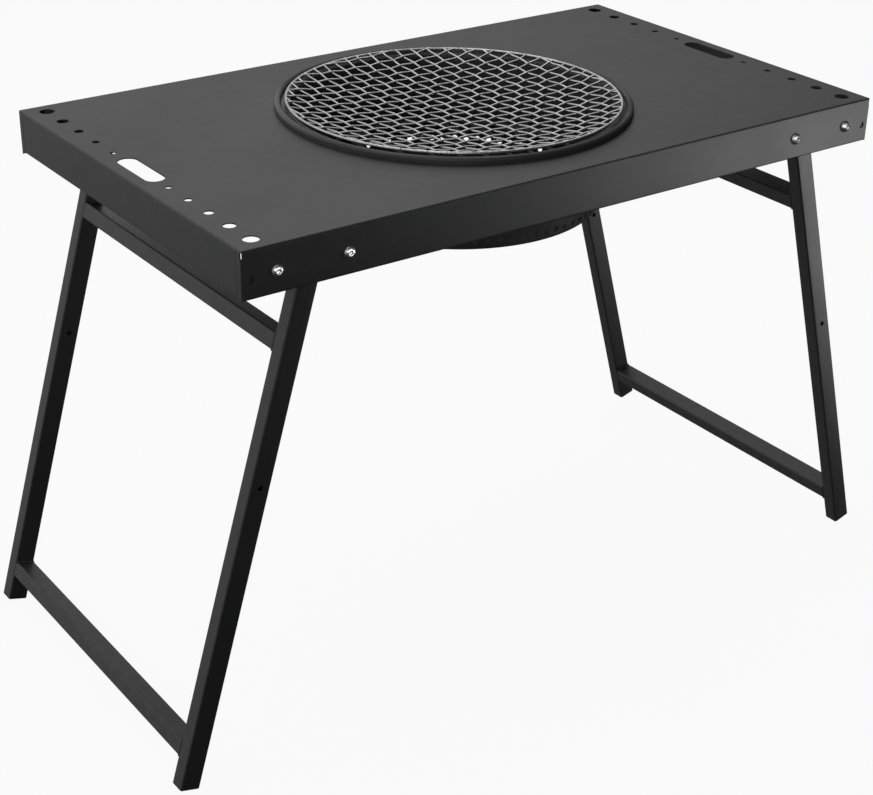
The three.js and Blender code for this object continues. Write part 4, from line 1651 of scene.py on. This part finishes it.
# ---- Grill mesh ----
@dataclass
class GrillMesh:
    """The dished cooking mesh: crimped wires woven both ways, their ends lapped over a rim.

    Its heights are counted from the top of the tray. The crimps fade out over the lip, where the
    wires rise to the rim.
    """

    top: float = TRAY_TOP
    radius: float = 226.0
    edge_height: float = 5.9
    dish: float = 13.8
    wire: float = 1.6
    crimp: float = 0.85
    crimp_round: float = 0.9
    pitch: tuple[float, float] = (21.20, 21.54)
    offset: float = 3.0
    turned: float = 2.98
    rim_wire: float = 1.8
    rim_height: float = 10.3
    rim_steps: int = 144
    lap: float = 0.8
    lap_height: float = 0.4
    shortest: float = 6.0
    lip: float = 9.0
    flare: float = 9.0
    steps_per_mesh: int = 8

    def _wire(self, line: float, along: float, lift: float, first: bool) -> list[Vector]:
        """The middle line of one wire.

        Args:
            line: how far the wire is from the middle of the mesh.
            along: pitch of the wires that it crosses.
            lift: sign of its first crimp.
            first: whether it runs along the first direction.

        Returns:
            Its points, from tip to tip.
        """
        reach = math.sqrt((self.radius + self.lap) ** 2 - line**2)
        count = max(8, round(2 * reach / along * self.steps_per_mesh))
        rise = self.rim_height + self.lap_height - self.edge_height
        points = []
        for i in range(count + 1):
            run = -reach + 2 * reach * i / count
            out = math.hypot(run, line)
            fade = min(1.0, max(0.0, (self.radius - out) / self.lip))
            fade = fade * fade * (3 - 2 * fade)
            cosine = math.cos(math.pi * (run - self.offset) / along)
            zigzag = math.asin(self.crimp_round * cosine) / math.asin(self.crimp_round)
            wave = lift * self.crimp * zigzag
            height = self.edge_height - self.dish * (1 - (out / self.radius) ** 2)
            height += wave * fade + rise * (out / self.radius) ** self.flare
            points.append(Vector((run, line, height) if first else (line, run, height)))
        return points

    def build_mesh(self) -> BMesh:
        """Models all the woven wires.

        Returns:
            The wires, in place.
        """
        lines = []
        for first, across, along in ((True, *reversed(self.pitch)), (False, *self.pitch)):
            most = math.ceil(self.radius / across)
            for i in range(-most, most + 1):
                line = i * across + self.offset
                if abs(line) < self.radius - self.shortest:
                    lift = (-1.0 if i % 2 else 1.0) * (1.0 if first else -1.0)
                    points = self._wire(line, along, lift, first)
                    lines.append((points, [1.0] * len(points)))
        bm = bmesh.new()
        place = shift(0, 0, self.top) @ turn(self.turned, "Z")
        absorb(bm, swept(lines, self.wire, sides=8, cyclic=False), place)
        return bm

    def build_rim(self) -> BMesh:
        """Models the round rim wire.

        Returns:
            The rim, in place.
        """
        bm = wire_ring(self.radius, self.rim_wire, self.rim_height, self.rim_steps)
        bmesh.ops.translate(bm, verts=list(bm.verts), vec=(0, 0, self.top))
        return bm

    def dress(self) -> None:
        """Builds the mesh and its rim and hands them over."""
        for name, node, bm in (
            ("woven_grill_mesh", "grill_mesh", self.build_mesh()),
            ("grill_rim_wire", "grill_rim", self.build_rim()),
        ):
            Piece(name, Body.GRILL, Slot.BRIGHT_WIRE, MESH_WIRE, (node,), sharp=60.0).finish_mesh(bm)


# ---- Charcoal grate ----
@dataclass
class CharcoalGrate:
    """The grate that holds the charcoal: rods welded inside a ring, on short legs.

    Its heights and depths are counted from the top of the tray.
    """

    top: float = TRAY_TOP
    radius: float = 188.0
    ring_wire: float = 4.0
    ring_steps: int = 96
    rod: float = 3.0
    rod_steps: int = 12
    depth: float = 88.0
    pitch: float = 31.0
    rods_each_side: int = 5
    legs: int = 4
    leg_steps: int = 20
    floor: float = -126.7
    gap: float = 0.3

    def build_grate(self) -> BMesh:
        """Models the ring and its rods, which are not quite straight.

        Returns:
            The grate, in place.
        """
        bm = wire_ring(self.radius, self.ring_wire, 0, self.ring_steps)
        lines = []
        for i in range(-self.rods_each_side, self.rods_each_side + 1):
            x = i * self.pitch
            reach = math.sqrt(self.radius**2 - x * x)
            points = [Vector((x, reach * step / self.rod_steps, 0.25 * math.sin(3 * step + i)))
                      for step in range(-self.rod_steps, self.rod_steps + 1)]
            lines.append((points, [1.0] * len(points)))
        absorb(bm, swept(lines, self.rod, sides=10, cyclic=False))
        bmesh.ops.translate(bm, verts=list(bm.verts), vec=(0, 0, self.top - self.depth))
        return bm

    def build_leg(self, number: int) -> BMesh:
        """Models one of the grate's legs, with rounded ends.

        Args:
            number: which leg, from 1.

        Returns:
            The leg, in place.
        """
        bm = bmesh.new()
        low, high = self.floor, -self.depth - self.ring_wire - self.gap
        tip = [(0.0, 1.2), (0.4, 0.4), (1.2, 0.0)]  # distance from the end, and how much thinner
        rings = [(low + lift, round_at(self.ring_wire - less)) for lift, less in tip]
        rings += [(high - lift, round_at(self.ring_wire - less)) for lift, less in reversed(tip)]
        stack(bm, rings, self.leg_steps, closed=False)
        angle = math.radians((number - 0.5) * 360 / self.legs)
        move_all(bm, shift(self.radius * math.cos(angle), self.radius * math.sin(angle), self.top))
        return bm

    def dress(self) -> None:
        """Builds the grate and its legs and hands them over."""
        body, slot = Body.CHARCOAL_GRATE, Slot.HEAT_BLACK
        grate = Piece("rod_charcoal_grate", body, slot, GRATE_BLACK, ("charcoal_grate",))
        grate.finish_mesh(self.build_grate())
        for number in range(1, self.legs + 1):
            name = f"charcoal_grate_leg_{number}"
            Piece(f"{name}_stub", body, slot, GRATE_BLACK, (name,)).finish_mesh(self.build_leg(number))


# ---- Studio ----
@dataclass(frozen=True)
class Softbox:
    """A flat lamp that lights the whole table, or only the pieces with a word in their name."""

    name: str
    spot: tuple[float, float, float]
    aim: tuple[float, float, float]
    size: tuple[float, float]
    power: float
    lights_only: str = ""

    def set_up(self) -> None:
        """Hangs the lamp, aims it and picks what it lights."""
        lamp = bpy.data.lights.new(self.name, "AREA")
        lamp.shape, lamp.energy = "RECTANGLE", self.power
        lamp.size, lamp.size_y = self.size
        holder = bpy.data.objects.new(self.name, lamp)
        holder.location = self.spot
        way = Vector(self.aim) - Vector(self.spot)
        holder.rotation_euler = way.to_track_quat("-Z", "Y").to_euler()
        bpy.context.scene.collection.objects.link(holder)
        if self.lights_only:
            lit = bpy.data.collections.new(f"{self.name}_lights")
            for obj in bpy.context.scene.objects:
                if self.lights_only in obj.name:
                    lit.objects.link(obj)
            holder.light_linking.receiver_collection = lit


@dataclass
class Studio:
    """The pale floor, the soft light and the camera, in metres and degrees."""

    eye: tuple[float, float, float] = (-1.3884, -1.8734, 1.4746)
    heading: float = 36.15
    pitch: float = 27.28
    roll: float = 1.0745
    lens: float = 73.9
    sensor: float = 36.0
    floor_half: float = 30.0
    floor_drop: float = 0.001
    floor_glow: float = 0.93
    floor_white: Colour = (0.85, 0.85, 0.85, 1.0)
    dim: float = 0.05
    bright: float = 0.85
    below: float = 0.22
    bright_way: tuple[float, float, float] = (-0.5, 0.85, 0.1)
    lamps: tuple[Softbox, ...] = (
        Softbox("front_right_box", (1.85, -1.55, 0.05), (0.6, -0.3, 0.7), (0.9, 0.9), 17.0),
        Softbox("overhead_box", (-0.3, 0.2, 2.3), (0.0, 0.0, 0.7), (1.3, 1.0), 5.0),
        Softbox("rear_right_box", (1.0, 1.3, 2.6), (0.0, 0.0, 0.7), (1.2, 1.2), 5.0),
        Softbox("front_left_box", (-1.6, -2.2, 1.3), (-0.3, -0.3, 0.6), (0.5, 0.5), 9.0),
        Softbox("mesh_box", (1.5, 0.2, 2.4), (0.0, 0.0, 0.72), (2.2, 1.8), 8.0, "grill"),
        Softbox("fittings_box", (0.3, -2.8, 0.9), (0.0, -0.3, 0.69), (3.0, 1.5), 30.0, "dome_bolt"),
    )

    def set_up(self) -> None:
        """Builds everything round the object."""
        self._lay_floor()
        self._light_world()
        for lamp in self.lamps:
            lamp.set_up()
        self._stand_camera()
        bpy.context.scene.view_settings.view_transform = "Standard"

    def _lay_floor(self) -> None:
        """Lays a wide pale floor just under the feet."""
        bm = bmesh.new()
        bmesh.ops.create_grid(bm, x_segments=8, y_segments=8, size=self.floor_half)
        bmesh.ops.translate(bm, verts=list(bm.verts), vec=(0, 0, -self.floor_drop))
        mesh = bpy.data.meshes.new("studio_floor")
        bm.to_mesh(mesh)
        bm.free()
        floor = bpy.data.objects.new("studio_floor", mesh)
        bpy.context.scene.collection.objects.link(floor)
        material = bpy.data.materials.new("pale_floor")
        material.use_nodes = True
        draw = NodeDrawer(material.node_tree)
        glow = draw.add("ShaderNodeEmission", {"Color": WHITE, "Strength": 1.0})
        matt = draw.add("ShaderNodeBsdfDiffuse", {"Color": self.floor_white})
        both = draw.add("ShaderNodeMixShader", {0: self.floor_glow, 1: matt.outputs[0], 2: glow.outputs[0]})
        draw.add("ShaderNodeOutputMaterial", {"Surface": both.outputs[0]})
        mesh.materials.append(material)
        floor.visible_glossy = False
        floor.visible_diffuse = False

    def _light_world(self) -> None:
        """Lights the table with a soft room, bright behind its left and dim before its right."""
        world = bpy.data.worlds.new("soft_sky")
        bpy.context.scene.world = world
        world.use_nodes = True
        draw = NodeDrawer(world.node_tree)
        way = draw.add("ShaderNodeTexCoord").outputs["Generated"]
        room = draw.ramp(draw.dot(way, self.bright_way), -0.5, 0.95, self.dim, self.bright)
        level = draw.ramp(draw.part(way, "Z"), -0.6, 0.1, self.below, 1.0)
        strength = draw.maths("MULTIPLY", level, room)
        seen = draw.add("ShaderNodeLightPath").outputs["Is Camera Ray"]
        sky = draw.add("ShaderNodeBackground", {"Color": WHITE, "Strength": strength})
        backdrop = draw.add("ShaderNodeBackground", {"Color": WHITE, "Strength": 1.0})
        both = draw.add("ShaderNodeMixShader", {0: seen, 1: sky.outputs[0], 2: backdrop.outputs[0]})
        draw.add("ShaderNodeOutputWorld", {"Surface": both.outputs[0]})

    def _stand_camera(self) -> None:
        """Stands the camera in front of the table, a little to its left."""
        yaw, down, roll = (math.radians(a) for a in (self.heading, self.pitch, self.roll))
        ahead = Vector((math.sin(yaw) * math.cos(down), math.cos(yaw) * math.cos(down), -math.sin(down)))
        right = Vector((math.cos(yaw), -math.sin(yaw), 0.0))
        up = right.cross(ahead)
        tilted_right = right * math.cos(roll) + up * math.sin(roll)
        tilted_up = up * math.cos(roll) - right * math.sin(roll)
        data = bpy.data.cameras.new("camera")
        data.lens, data.sensor_width = self.lens, self.sensor
        camera = bpy.data.objects.new("camera", data)
        camera.matrix_world = Matrix((
            (tilted_right.x, tilted_up.x, -ahead.x, self.eye[0]),
            (tilted_right.y, tilted_up.y, -ahead.y, self.eye[1]),
            (tilted_right.z, tilted_up.z, -ahead.z, self.eye[2]),
            (0, 0, 0, 1),
        ))
        bpy.context.scene.collection.objects.link(camera)
        bpy.context.scene.camera = camera


def main() -> None:
    """Builds the table's sub-assemblies in order, and the studio round them."""
    logging.basicConfig(level=logging.INFO, format="%(name)s: %(message)s")
    Tray().dress()
    left = LegFrame(Side.LEFT, pivot_z=701.5, leg_hole=415.0)
    right = LegFrame(Side.RIGHT, pivot_z=672.5, leg_hole=383.5)
    for leg_frame, bracket_top, stop in ((left, 716.7, (-30.0, -8.0)), (right, 702.0, (-12.0, 8.0))):
        leg_frame.dress()
        for end in End:
            PivotCorner(leg_frame, end, bracket_top, stop).dress()
    FirePan().dress()
    CharcoalGrate().dress()
    GrillMesh().dress()
    Studio().set_up()


if __name__ == "__main__":
    main()
